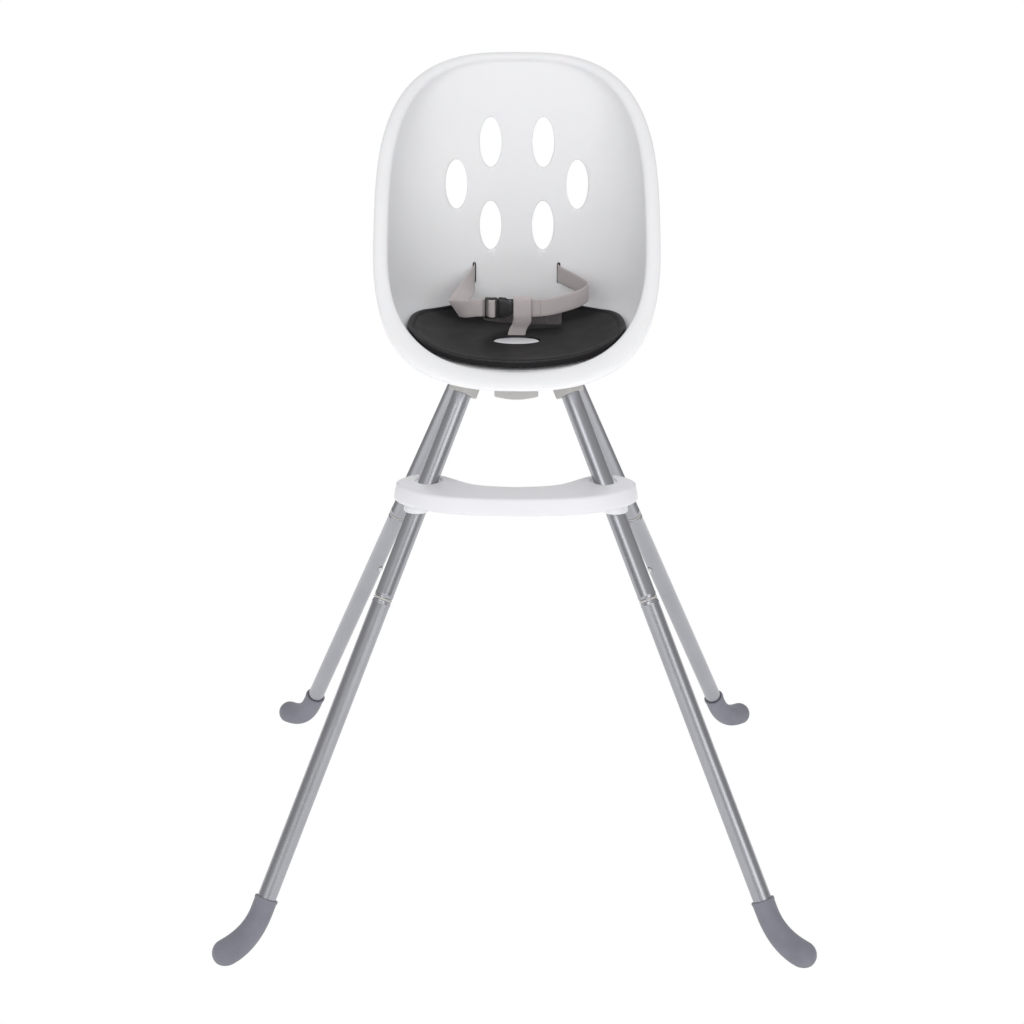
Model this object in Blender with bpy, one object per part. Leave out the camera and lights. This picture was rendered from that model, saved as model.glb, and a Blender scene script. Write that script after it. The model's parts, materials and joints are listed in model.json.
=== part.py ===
"""Baby high chair: a moulded foam bucket seat on a hub with four splayed, extendable tube legs.

Metres, +Z up. The chair faces -Y and stands on z = 0, with the hub's axis on x = y = 0.
Each leg lies in a vertical plane through the hub's axis, so all four are one leg turned about Z.
"""

import math

import bmesh
import bpy
from mathutils import Matrix, Vector

GAP = 0.0003  # clearance kept between pieces that touch

# Legs
LEG_FOOT_RADIUS = 0.4046  # a leg's centre line meets the floor this far from the hub's axis
LEG_TILT = math.radians(30.13)  # lean of a leg from the vertical
LEG_TURNS = {"fl": 225.0, "fr": 315.0, "rl": 135.0, "rr": 45.0}  # degrees about Z
TUBE_RADIUS = 0.0101
TUBE_BORE = 0.0088
LEG_TOP_Z = 0.5725
JOINT_Z = 0.347  # where a leg extension meets its upper leg
TUBE_FOOT_Z = 0.037  # lower end of an extension, inside its foot

# Spigot that joins the two tubes, with its locking button
SPIGOT_RADIUS = 0.0084
SPIGOT_BORE = 0.0072
SPIGOT_UP = 0.045
SPIGOT_DOWN = 0.100
RING_HEIGHT = 0.0024
BUTTON_DROP = 0.085  # below the joint, along the leg
BUTTON_RADIUS = 0.0035
BUTTON_PROUD = 0.0022

# Feet
FOOT_RADIUS = 0.0122
TOE_RADIUS = 0.0145
FOOT_TOP_Z = 0.053
FOOT_STRAIGHT = 0.014  # along the leg before the foot turns outward
FOOT_BEND = 0.046
TOE_REACH = 0.4303  # centre of the toe's round end, from the hub's axis
TOE_HEIGHT = 0.0105

# Seat shell, as a bowl hung from a rim plane that leans back from the front lip
RIM_LEAN = math.radians(47.95)
RIM_LIP_Y = -0.135
RIM_LIP_Z = 0.584
RIM_MIDDLE = 0.180  # widest point of the rim, measured up its plane
RIM_DOWN_POWER = 2.55
RIM_UP_POWER = 2.9
WALL_POWER = 2.8
OUTER = {"half": 0.1555, "down": 0.187, "up": 0.2415, "floor": 1.109, "back": 0.720}
INNER = {"half": 0.1395, "down": 0.163, "up": 0.2305, "floor": 1.109, "back": 0.676}
CORNER_ROUND = 0.030  # softening where the seat floor turns into the back
RIM_WAVE = 0.009  # how far the rim strays from its plane
RIM_BULGE = 0.006
HOLE_SIZE = (0.0125, 0.028)  # half width and half height of a vent
HOLE_CENTRES = [(-0.030, 0.800), (0.030, 0.800), (-0.069, 0.7535), (0.069, 0.7535),
                (-0.030, 0.707), (0.030, 0.707)]
STRAP_SLOT_X = 0.0485
STRAP_SLOT_Z = 0.6545
STRAP_SLOT_WIDE = 0.0038
STRAP_SLOT_HIGH = 0.0236
CROTCH_Y = 0.010

# Hub under the seat
HUB_TOP = 0.5810
HUB_BOTTOM = 0.5610
HUB_RADIUS = 0.066
RECESS_RADIUS = 0.092  # flat pad in the shell for the hub and its leg bosses
SOCKET_RADIUS = 0.0140
SOCKET_BOTTOM_Z = 0.5550
POCKET_FLOOR = 0.5905
CAP_THICK = 0.0026
CAP_TOP = 0.6030  # of the oval island that fills the liner's opening
SCREW_RADIUS = 0.0020
SCREW_SPREAD = 0.0270
LEVER_PIVOT = (0.0, -0.050, 0.5665)
LEVER_PIN_RADIUS = 0.0016

# Footrest
FOOTREST_TOP = 0.467
FOOTREST_BOTTOM = 0.4465
CLIP_BOTTOM = 0.4370
CLIP_RADIUS = 0.0165
END_FLARE = 0.004  # how far the top edge stands in from the bottom one at the ends
NOTCH_REACH = 0.08  # how far the footrest's slots run behind its legs
FOOTREST_EDGE = [(0.0, -0.160), (0.070, -0.153), (0.117, -0.127), (0.133, -0.097),
                 (0.114, -0.071), (0.082, -0.0745), (0.044, -0.107), (0.0, -0.1155)]
FOOTREST_NUB = (0.1235, -0.098)  # small round pads under the ends

# Seat liner, laid out in the rim plane
LINER_MIDDLE = 0.0905  # up the rim plane
LINER_HALF = .1225
LINER_UP = .0960
LINER_DOWN = .0680
LINER_UP_POWER = 3.0
LINER_DOWN_POWER = 2.0
LINER_LOW = 0.0040  # the liner's underside above the shell
LINER_THICK = 0.0036
LINER_OVAL = (0.026, 0.017, -0.0155)  # half width, half depth and y of the opening

# Harness: each strap is a list of centre points with the direction of its width there
WEB_WIDTH = 0.0195
WEB_THICK = 0.0014
UPRIGHT = (0.0, 0.0, 1.0)
ACROSS = (1.0, 0.0, 0.0)
WAIST_LEFT = [((-0.0485, 0.1212, 0.6545), UPRIGHT), ((-0.0485, 0.1120, 0.6545), UPRIGHT),
              ((-0.0487, 0.1010, 0.6540), UPRIGHT), ((-0.0515, 0.0850, 0.6490), (-0.35, 0.0, 0.94)),
              ((-0.0555, 0.0660, 0.6440), (-0.72, 0.0, 0.69)), ((-0.0605, 0.0490, 0.6405), (-0.90, 0.0, 0.43)),
              ((-0.0645, 0.0370, 0.6365), (-0.88, 0.0, 0.48)), ((-0.0680, 0.0310, 0.6310), (-0.67, 0.0, 0.84)),
              ((-0.0695, 0.0270, 0.6300), (-0.62, 0.0, 0.88)), ((-0.0660, 0.0215, 0.6305), (-0.40, 0.0, 0.95)),
              ((-0.0560, 0.0120, 0.6325), (-0.10, 0.0, 1.0)), ((-0.0455, 0.0062, 0.6348), UPRIGHT),
              ((-0.0362, 0.0045, 0.6355), UPRIGHT)]
WAIST_RIGHT = [((0.0485, 0.1212, 0.6545), UPRIGHT), ((0.0485, 0.1120, 0.6545), UPRIGHT),
               ((0.0487, 0.1010, 0.6540), UPRIGHT), ((0.0590, 0.0830, 0.6520), UPRIGHT),
               ((0.0740, 0.0620, 0.6480), UPRIGHT), ((0.0800, 0.0380, 0.6465), UPRIGHT),
               ((0.0680, 0.0180, 0.6430), UPRIGHT), ((0.0400, 0.0055, 0.6375), UPRIGHT),
               ((0.0180, 0.0040, 0.6355), UPRIGHT), ((-0.0042, 0.0045, 0.6355), UPRIGHT)]
STRAP_TAIL = [((-0.0360, 0.0170, 0.6290), UPRIGHT), ((-0.0260, 0.0300, 0.6240), UPRIGHT),
              ((-0.0050, 0.0420, 0.6190), UPRIGHT), ((0.0220, 0.0460, 0.6170), UPRIGHT),
              ((0.0500, 0.0460, 0.6172), UPRIGHT)]
CROTCH_STEM = [((0.0, 0.0100, 0.5665), ACROSS), ((0.0, 0.0100, 0.6000), ACROSS),
               ((0.0030, 0.0095, 0.6120), ACROSS), ((0.0065, 0.0072, 0.6200), ACROSS),
               ((0.0065, 0.0050, 0.6238), ACROSS)]
CROTCH_LOOP = (0.0065, 0.0042, 0.6355)  # centre of the loop round the waist strap
LOOP_HALF_HEIGHT = 0.0115
LOOP_HALF_DEPTH = 0.0036
BUCKLE = (-0.0205, 0.0045, 0.6355)  # where the tongue half meets the socket half
ANCHOR_Y = 0.1232


# ---------------------------------------------------------------- helpers

def clear_scene():
    for obj in list(bpy.data.objects):
        bpy.data.objects.remove(obj, do_unlink=True)


def material(name, colour, roughness, metallic=0.0):
    mat = bpy.data.materials.new(name)
    mat.use_nodes = True
    shader = mat.node_tree.nodes["Principled BSDF"]
    shader.inputs["Base Color"].default_value = (*colour, 1.0)
    shader.inputs["Roughness"].default_value = roughness
    shader.inputs["Metallic"].default_value = metallic
    mat.diffuse_color = (*colour, 1.0)
    return mat


def mesh_of(name, bm, mat):
    """Finish a bmesh: faces out, smooth with sharp edges kept."""
    bmesh.ops.recalc_face_normals(bm, faces=bm.faces)
    mesh = bpy.data.meshes.new(name)
    bm.to_mesh(mesh)
    bm.free()
    mesh.materials.append(mat)
    mesh.shade_smooth()
    mesh.set_sharp_from_angle(angle=math.radians(35))
    return mesh


def add(name, mesh, matrix=None, parent=None):
    obj = bpy.data.objects.new(name, mesh)
    bpy.context.scene.collection.objects.link(obj)
    if parent is not None:
        obj.parent = parent
    if matrix is not None:
        obj.matrix_world = matrix
    return obj


def empty(name, matrix):
    """A guide that stands at a leg's joint; the build ignores empties."""
    guide = bpy.data.objects.new(name, None)
    bpy.context.scene.collection.objects.link(guide)
    guide.matrix_world = matrix
    return guide


def loft(rings, cap=True, loop=False):
    """Skin a list of equal rings of points; cap both ends, or join the last ring to the first."""
    bm = bmesh.new()
    rows = [[bm.verts.new(point) for point in ring] for ring in rings]
    count = len(rows[0])
    pairs = list(zip(rows, rows[1:]))
    if loop:
        pairs.append((rows[-1], rows[0]))
    for low, high in pairs:
        for i in range(count):
            j = (i + 1) % count
            bm.faces.new((low[i], low[j], high[j], high[i]))
    if cap and not loop:
        bm.faces.new(rows[0])
        bm.faces.new(rows[-1])
    return bm


def circle(radius, z, steps, x=0.0, y=0.0):
    return [Vector((x + radius * math.cos(math.tau * i / steps),
                    y + radius * math.sin(math.tau * i / steps), z)) for i in range(steps)]


def pipe(outer, inner, low, high, steps=24):
    """A tube along local Z."""
    rings = [circle(outer, low, steps), circle(outer, high, steps),
             circle(inner, high, steps), circle(inner, low, steps)]
    return loft(rings, loop=True)


def rod(profile, steps=24):
    """A solid turned about local Z from (radius, z) points."""
    return loft([circle(radius, z, steps) for radius, z in profile])


def slab(size, centre, bevel=0.0):
    """A box of full sizes about a centre, with rounded edges."""
    bm = bmesh.new()
    bmesh.ops.create_cube(bm, size=1.0)
    bmesh.ops.scale(bm, vec=size, verts=bm.verts)
    bmesh.ops.translate(bm, vec=centre, verts=bm.verts)
    if bevel > 0.0:
        bmesh.ops.bevel(bm, geom=list(bm.edges), offset=bevel, segments=2, profile=0.5, affect="EDGES")
    return bm


def helper(name, bm, mat, matrix=None):
    """A cutter or a joined shape that stays out of the build."""
    obj = add(name, mesh_of(name, bm, mat), matrix)
    obj.hide_render = True
    obj.display_type = "WIRE"
    return obj


def combine(obj, other, operation):
    mod = obj.modifiers.new(other.name, "BOOLEAN")
    mod.operation = operation
    mod.solver = "EXACT"
    mod.object = other


def combine_all(obj, others, operation):
    """One Boolean with several helpers at once, which leaves cleaner faces than one after another."""
    group = bpy.data.collections.new(obj.name + "_" + operation.lower())
    for other in others:
        group.objects.link(other)
    mod = obj.modifiers.new(group.name, "BOOLEAN")
    mod.operation = operation
    mod.solver = "EXACT"
    mod.operand_type = "COLLECTION"
    mod.collection = group


def smooth_curve(points, steps):
    """Points along a Catmull-Rom curve through the given ones."""
    points = [Vector(point) for point in points]
    last = len(points) - 1
    result = []
    for i in range(last):
        a, b, c, d = points[max(i - 1, 0)], points[i], points[i + 1], points[min(i + 2, last)]
        for k in range(steps):
            t = k / steps
            result.append(0.5 * ((2 * b) + (c - a) * t + (2 * a - 5 * b + 4 * c - d) * t * t
                                 + (3 * b - a - 3 * c + d) * t ** 3))
    result.append(points[-1])
    return result


def signed_power(value, power):
    return math.copysign(abs(value) ** power, value)


# ---------------------------------------------------------------- legs

def leg_radius(z):
    """Distance of a leg's centre line from the hub's axis at height z."""
    return LEG_FOOT_RADIUS - math.tan(LEG_TILT) * z


def leg_matrix(turn, z):
    """A frame on a leg's centre line at height z: Z up the leg, X outward."""
    return (Matrix.Rotation(math.radians(turn), 4, "Z")
            @ Matrix.Translation((leg_radius(z), 0.0, z))
            @ Matrix.Rotation(-LEG_TILT, 4, "Y"))


def along_leg(z):
    """Distance from the joint up the leg to height z."""
    return (z - JOINT_Z) / math.cos(LEG_TILT)


def button_cutter(name, radius, mat):
    bm = rod([(radius, -0.020), (radius, 0.0)], 20)
    turn = Matrix.Translation((0.0, 0.0, -BUTTON_DROP)) @ Matrix.Rotation(math.radians(90), 4, "Y")
    bmesh.ops.transform(bm, matrix=turn, verts=bm.verts)
    return helper(name, bm, mat)


def foot_rings(steps=16):
    """Rings of a foot in the leg's vertical plane (x outward from the hub's axis)."""
    top = Vector((leg_radius(FOOT_TOP_Z), 0.0, FOOT_TOP_Z))
    down = Vector((math.sin(LEG_TILT), 0.0, -math.cos(LEG_TILT)))
    toe = Vector((TOE_REACH, 0.0, TOE_HEIGHT))
    start = top + down * FOOT_STRAIGHT
    bend = top + down * FOOT_BEND
    rings = [(top, down, FOOT_RADIUS), (start, down, FOOT_RADIUS)]
    spans = 8
    for i in range(1, spans + 1):
        t = i / spans
        centre = (1 - t) ** 2 * start + 2 * t * (1 - t) * bend + t * t * toe
        tangent = (2 * (1 - t) * (bend - start) + 2 * t * (toe - bend)).normalized()
        radius = FOOT_RADIUS + (TOE_RADIUS - FOOT_RADIUS) * t
        rings.append((centre, tangent, radius))
    for k in range(1, 4):
        angle = math.radians(26 * k)
        rings.append((toe + tangent * TOE_RADIUS * math.sin(angle), tangent, TOE_RADIUS * math.cos(angle)))
    result = []
    for centre, tangent, radius in rings:
        side = Vector((0.0, 1.0, 0.0))
        up = side.cross(tangent).normalized()
        ring = []
        for i in range(steps):
            angle = math.tau * i / steps
            point = centre + side * radius * math.cos(angle) + up * radius * math.sin(angle)
            point.z = max(point.z, 0.0)
            ring.append(point)
        result.append(ring)
    return result


def build_foot_mesh(rubber):
    """A boot over the tube's end that turns outward to a flat-soled toe."""
    bm = loft(foot_rings())
    to_joint = leg_matrix(0.0, JOINT_Z).inverted()
    bmesh.ops.transform(bm, matrix=to_joint, verts=bm.verts)
    mesh = mesh_of("foot", bm, rubber)
    foot = add("foot_blank", mesh)
    bore_low = along_leg(TUBE_FOOT_Z) - GAP
    bore = helper("foot_bore", rod([(TUBE_RADIUS + GAP, bore_low), (TUBE_RADIUS + GAP, along_leg(0.075))]), rubber)
    combine(foot, bore, "DIFFERENCE")
    return bake(foot, bore)


def bake(obj, *cutters):
    """Turn an object with modifiers into a plain mesh that several objects can share."""
    graph = bpy.context.evaluated_depsgraph_get()
    mesh = bpy.data.meshes.new_from_object(obj.evaluated_get(graph))
    bpy.data.objects.remove(obj, do_unlink=True)
    for cutter in cutters:
        bpy.data.objects.remove(cutter, do_unlink=True)
    mesh.shade_smooth()
    mesh.set_sharp_from_angle(angle=math.radians(35))
    return mesh


def build_tube_mesh(name, low, high, hole, mat):
    """A tube between two distances from the joint, with a side hole when a radius is given."""
    blank = add(name + "_blank", mesh_of(name, pipe(TUBE_RADIUS, TUBE_BORE, low, high), mat))
    if not hole:
        return bake(blank)
    cutter = button_cutter(name + "_hole", hole, mat)
    combine(blank, cutter, "DIFFERENCE")
    return bake(blank, cutter)


def build_spigot_mesh(steel):
    blank = add("spigot_blank", mesh_of("spigot", pipe(SPIGOT_RADIUS, SPIGOT_BORE, -SPIGOT_DOWN, SPIGOT_UP), steel))
    cutter = button_cutter("spigot_hole", BUTTON_RADIUS + 2 * GAP, steel)
    combine(blank, cutter, "DIFFERENCE")
    return bake(blank, cutter)


def build_button_mesh(steel):
    """A domed pin that faces the hub's axis; its own origin sits where it passes the tube's bore."""
    inner = -(TUBE_BORE - GAP)
    outer = -(TUBE_RADIUS + BUTTON_PROUD)
    profile = [(BUTTON_RADIUS, inner), (BUTTON_RADIUS, outer + 0.0012),
               (BUTTON_RADIUS * 0.8, outer + 0.0003), (BUTTON_RADIUS * 0.4, outer)]
    bm = rod(profile, 20)
    bmesh.ops.rotate(bm, verts=bm.verts, matrix=Matrix.Rotation(math.radians(90), 3, "Y"))
    return mesh_of("snap_button", bm, steel)


def build_spring_mesh(steel):
    """A flat leaf inside the spigot that pushes its button outward."""
    start = Vector((-SPIGOT_BORE + 0.0022, 0.0, 0.0))
    back = Vector((SPIGOT_BORE - 0.0016, 0.0, 0.0))
    line = [start + Vector((0, 0, -0.006)), start + Vector((0, 0, 0.008)),
            Vector((0.0, 0.0, 0.024)), back + Vector((0, 0, 0.016)), back + Vector((0, 0, -0.010))]
    rings = ribbon_rings([(point, (0.0, 1.0, 0.0)) for point in line], 0.005, 0.0006)
    return mesh_of("button_spring", loft(rings), steel)


def build_legs(mats):
    top = along_leg(LEG_TOP_Z)
    ring_low = GAP
    upper = build_tube_mesh("upper_leg", ring_low + RING_HEIGHT + GAP, top, 0.0, mats["aluminium"])
    lower = build_tube_mesh("lower_leg", along_leg(TUBE_FOOT_Z), 0.0, BUTTON_RADIUS + GAP, mats["aluminium"])
    spigot = build_spigot_mesh(mats["steel"])
    ring = mesh_of("joint_ring", pipe(TUBE_RADIUS, SPIGOT_RADIUS + GAP, ring_low, ring_low + RING_HEIGHT), mats["grey"])
    button = build_button_mesh(mats["steel"])
    spring = build_spring_mesh(mats["steel"])
    foot = build_foot_mesh(mats["rubber"])
    for corner, turn in LEG_TURNS.items():
        joint = leg_matrix(turn, JOINT_Z)
        guide = empty("joint_" + corner, joint)
        add("upper_leg_" + corner, upper, joint)
        add("spigot_" + corner, spigot, joint)
        add("joint_ring_" + corner, ring, joint)
        add("lower_leg_" + corner, lower, joint, guide)
        add("foot_" + corner, foot, joint, guide)
        at_button = joint @ Matrix.Translation((0.0, 0.0, -BUTTON_DROP))
        add("snap_button_" + corner, button, at_button, guide)
        add("button_spring_" + corner, spring, at_button)


# ---------------------------------------------------------------- seat shell

def rim_point(x, up, depth):
    """From rim-plane coordinates (across, up the plane, behind the plane) to the chair's own."""
    y = RIM_LIP_Y + up * math.cos(RIM_LEAN) + depth * math.sin(RIM_LEAN)
    z = RIM_LIP_Z + up * math.sin(RIM_LEAN) - depth * math.cos(RIM_LEAN)
    return Vector((x, y, z))


def rim_outline(skin, angle):
    """Point of a skin's outline in the rim plane: superellipse halves about its widest line."""
    power = RIM_UP_POWER if math.sin(angle) > 0 else RIM_DOWN_POWER
    reach = skin["up"] if math.sin(angle) > 0 else skin["down"]
    x = skin["half"] * signed_power(math.cos(angle), 2 / power)
    up = RIM_MIDDLE + reach * signed_power(math.sin(angle), 2 / power)
    return x, up


def half_width(skin, up):
    """Half width of a skin's outline at a distance up the rim plane."""
    above = up > RIM_MIDDLE
    power = RIM_UP_POWER if above else RIM_DOWN_POWER
    reach = skin["up"] if above else skin["down"]
    share = min(abs(up - RIM_MIDDLE) / reach, 1.0)
    return skin["half"] * (1 - share ** power) ** (1 / power)


def centre_depth(skin, up):
    """Depth of the seat floor and the back along the middle of the bowl, softly joined."""
    floor = (up - (RIM_MIDDLE - skin["down"])) * skin["floor"]
    back = (RIM_MIDDLE + skin["up"] - up) * skin["back"]
    blend = max(CORNER_ROUND - abs(floor - back), 0.0) / CORNER_ROUND
    return max(min(floor, back) - blend * blend * CORNER_ROUND / 4, 0.0)


def rim_dip(up):
    """The rim's side view is a shallow S: behind its plane at the arms, in front of it at the head."""
    low = RIM_MIDDLE - OUTER["down"]
    high = RIM_MIDDLE + OUTER["up"]
    share = min(max((up - low) / (high - low), 0.0), 1.0)
    return RIM_WAVE * math.sin(math.tau * share)


def bowl_point(skin, x, up):
    """A point of a skin, from its place in the rim plane."""
    width = half_width(skin, up)
    share = min(abs(x) / width, 1.0) if width > 1e-6 else 1.0
    fullness = max(1 - share ** WALL_POWER, 0.0) ** (1 / WALL_POWER)
    dip = rim_dip(up)
    depth = dip + (centre_depth(skin, up) - dip) * fullness
    return rim_point(x, up, depth)


def skin_ring(skin, share, steps):
    """A ring of a skin at a share of the way from its middle to the rim."""
    ring = []
    for i in range(steps):
        x, up = rim_outline(skin, math.tau * (i + 0.5) / steps)
        ring.append(bowl_point(skin, x * share, RIM_MIDDLE + (up - RIM_MIDDLE) * share))
    return ring


def rim_ring(turn, steps):
    """A ring of the rounded rim, from its inner edge (turn 0) to its outer edge (turn 180)."""
    mix = 0.5 - 0.5 * math.cos(math.radians(turn))
    ring = []
    for i in range(steps):
        angle = math.tau * (i + 0.5) / steps
        x0, up0 = rim_outline(INNER, angle)
        x1, up1 = rim_outline(OUTER, angle)
        up = up0 + (up1 - up0) * mix
        depth = rim_dip(up) - RIM_BULGE * math.sin(math.radians(turn)) ** 0.7
        ring.append(rim_point(x0 + (x1 - x0) * mix, up, depth))
    return ring


def shell_rings(steps=52):
    shares = [0.03, 0.09, 0.17, 0.28, 0.40, 0.52, 0.64, 0.74, 0.83, 0.90, 0.95, 0.985, 1.0]
    inner = [skin_ring(INNER, share, steps) for share in shares]
    rim = [rim_ring(turn, steps) for turn in (45, 90, 135)]
    outer = [skin_ring(OUTER, share, steps) for share in reversed(shares)]
    return inner + rim + outer


def oval(name, x, z, mat):
    """A cutter through the back for one vent."""
    steps = 24
    outline = [(x + HOLE_SIZE[0] * math.cos(math.tau * i / steps), z + HOLE_SIZE[1] * math.sin(math.tau * i / steps))
               for i in range(steps)]
    rings = [[Vector((across, y, up)) for across, up in outline] for y in (0.07, 0.20)]
    return helper(name, loft(rings), mat)


def build_shell(mats):
    foam = mats["foam"]
    shell = add("seat_shell", mesh_of("seat_shell", loft(shell_rings()), foam))
    cuts = [oval("vent_cut_%d" % number, x, z, foam) for number, (x, z) in enumerate(HOLE_CENTRES, 1)]
    for side, sign in (("left", -1), ("right", 1)):
        bm = slab((STRAP_SLOT_WIDE, 0.12, STRAP_SLOT_HIGH), (sign * STRAP_SLOT_X, 0.13, STRAP_SLOT_Z))
        cuts.append(helper("slot_cut_" + side, bm, foam))
    pocket = rod([(0.046, POCKET_FLOOR), (0.046, POCKET_FLOOR + 0.03)], 40)
    cuts.append(helper("plate_pocket", pocket, foam))
    recess = rod([(RECESS_RADIUS, 0.540), (RECESS_RADIUS, HUB_TOP + GAP)], 48)
    cuts.append(helper("hub_recess", recess, foam))
    cuts.append(helper("crotch_cut", crotch_slot(0.05), foam))
    cuts += screw_cutters("shell", 0.55, 0.61, foam)
    combine_all(shell, cuts, "DIFFERENCE")


def screw_cutters(owner, low, high, mat):
    """Clearance holes for the four hub screws."""
    cutters = []
    for number, (x, y) in enumerate(screw_places(), 1):
        hole = rod([(SCREW_RADIUS + GAP, low), (SCREW_RADIUS + GAP, high)], 16)
        bmesh.ops.translate(hole, vec=(x, y, 0), verts=hole.verts)
        cutters.append(helper("%s_screw_cut_%d" % (owner, number), hole, mat))
    return cutters


def crotch_slot(height):
    return slab((0.0236, 0.0036, height), (0.0, CROTCH_Y, 0.585))


def screw_places():
    return [(x, y) for y in (-SCREW_SPREAD, SCREW_SPREAD) for x in (-SCREW_SPREAD, SCREW_SPREAD)]


# ---------------------------------------------------------------- seat liner

def liner_point(share, angle, lift):
    """A point over the inner skin, raised from it along its normal."""
    above = math.sin(angle) > 0
    reach, power = (LINER_UP, LINER_UP_POWER) if above else (LINER_DOWN, LINER_DOWN_POWER)
    x = LINER_HALF * signed_power(math.cos(angle), 2 / power) * share
    up = LINER_MIDDLE + reach * signed_power(math.sin(angle), 2 / power) * share
    step = 0.0005
    here = bowl_point(INNER, x, up)
    across = bowl_point(INNER, x + step, up) - bowl_point(INNER, x - step, up)
    along = bowl_point(INNER, x, up + step) - bowl_point(INNER, x, up - step)
    return here + across.cross(along).normalized() * lift


def build_liner(mats):
    """A thin moulded pad that lies over the seat floor and up its sides."""
    steps = 40
    angles = [math.tau * (i + 0.5) / steps for i in range(steps)]
    shares = [0.15, 0.32, 0.48, 0.63, 0.76, 0.87, 0.94, 1.0]
    middle = LINER_LOW + LINER_THICK / 2
    rings = [[liner_point(share, a, LINER_LOW + LINER_THICK) for a in angles] for share in shares]
    rings.append([liner_point(1.010, a, middle) for a in angles])
    rings += [[liner_point(share, a, LINER_LOW) for a in angles] for share in reversed(shares)]
    liner = add("seat_liner", mesh_of("seat_liner", loft(rings), mats["charcoal"]))
    half_x, half_y, y = LINER_OVAL
    window = rod([(1.0, 0.57), (1.0, 0.64)], 28)
    bmesh.ops.scale(window, vec=(half_x, half_y, 1.0), verts=window.verts)
    bmesh.ops.translate(window, vec=(0.0, y, 0.0), verts=window.verts)
    combine(liner, helper("liner_window", window, mats["charcoal"]), "DIFFERENCE")
    combine(liner, helper("liner_slot", crotch_slot(0.08), mats["charcoal"]), "DIFFERENCE")


# ---------------------------------------------------------------- hub

def build_hub(mats):
    """One moulding: a round body with a sloping boss over each leg's top."""
    grey = mats["grey"]
    hub = add("hub", mesh_of("hub", rod([(HUB_RADIUS - 0.004, HUB_BOTTOM), (HUB_RADIUS, HUB_BOTTOM + 0.004),
                                         (HUB_RADIUS, HUB_TOP)], 48), grey))
    bosses = []
    bores = []
    for corner, turn in LEG_TURNS.items():
        joint = leg_matrix(turn, JOINT_Z)
        low = along_leg(SOCKET_BOTTOM_Z)
        boss = rod([(SOCKET_RADIUS - 0.001, low), (SOCKET_RADIUS, low + 0.001),
                    (SOCKET_RADIUS, along_leg(HUB_TOP - 0.005))], 32)
        bosses.append(helper("boss_" + corner, boss, grey, joint))
        bore = rod([(TUBE_RADIUS + GAP, along_leg(0.53)), (TUBE_RADIUS + GAP, along_leg(LEG_TOP_Z) + GAP)], 24)
        bores.append(helper("bore_" + corner, bore, grey, joint))
    combine_all(hub, bosses, "UNION")
    trim = slab((0.30, 0.30, 0.04), (0.0, 0.0, HUB_TOP + 0.02))
    bay = slab((0.034, 0.014, 0.05), (0.0, CROTCH_Y, 0.585))
    mouth = slab((0.0496, 0.056, 0.030), (0.0, -0.072, 0.5583))
    pin = rod([(LEVER_PIN_RADIUS + GAP, -0.031), (LEVER_PIN_RADIUS + GAP, 0.031)], 16)
    cuts = bores + screw_cutters("hub", HUB_BOTTOM + 0.003, 0.60, grey)
    cuts += [helper("hub_trim", trim, grey), helper("anchor_bay", bay, grey), helper("lever_mouth", mouth, grey)]
    cuts.append(helper("pin_cut", pin, grey, across_matrix(LEVER_PIVOT)))
    combine_all(hub, cuts, "DIFFERENCE")


def across_matrix(place):
    """Local Z laid along +X at a place."""
    return Matrix.Translation(place) @ Matrix.Rotation(math.radians(90), 4, "Y")


def build_cap_and_screws(mats):
    """A cap in the seat floor whose oval island locates the liner, and screws down into the hub."""
    white = mats["white"]
    low = POCKET_FLOOR + GAP
    cap = add("seat_cap", mesh_of("seat_cap", rod([(0.045, low), (0.045, low + CAP_THICK)], 40), white))
    half_x, half_y, y = LINER_OVAL
    island = rod([(1.0, low + 0.001), (1.0, CAP_TOP - 0.0008), (0.975, CAP_TOP)], 28)
    bmesh.ops.scale(island, vec=(half_x - 3 * GAP, half_y - 3 * GAP, 1.0), verts=island.verts)
    bmesh.ops.translate(island, vec=(0.0, y, 0.0), verts=island.verts)
    combine(cap, helper("cap_island", island, white), "UNION")
    cuts = screw_cutters("cap", 0.57, 0.598, white)
    cuts.append(helper("cap_crotch_cut", crotch_slot(0.05), white))
    combine_all(cap, cuts, "DIFFERENCE")
    head = low + CAP_THICK + GAP
    screw = mesh_of("hub_screw", rod([(SCREW_RADIUS, HUB_BOTTOM + 0.004), (SCREW_RADIUS, head), (0.0038, head),
                                      (0.0038, head + 0.0008), (0.0026, head + 0.0014)], 16), mats["steel"])
    for number, (x, y) in enumerate(screw_places(), 1):
        add("hub_screw_%d" % number, screw, Matrix.Translation((x, y, 0)))


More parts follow.
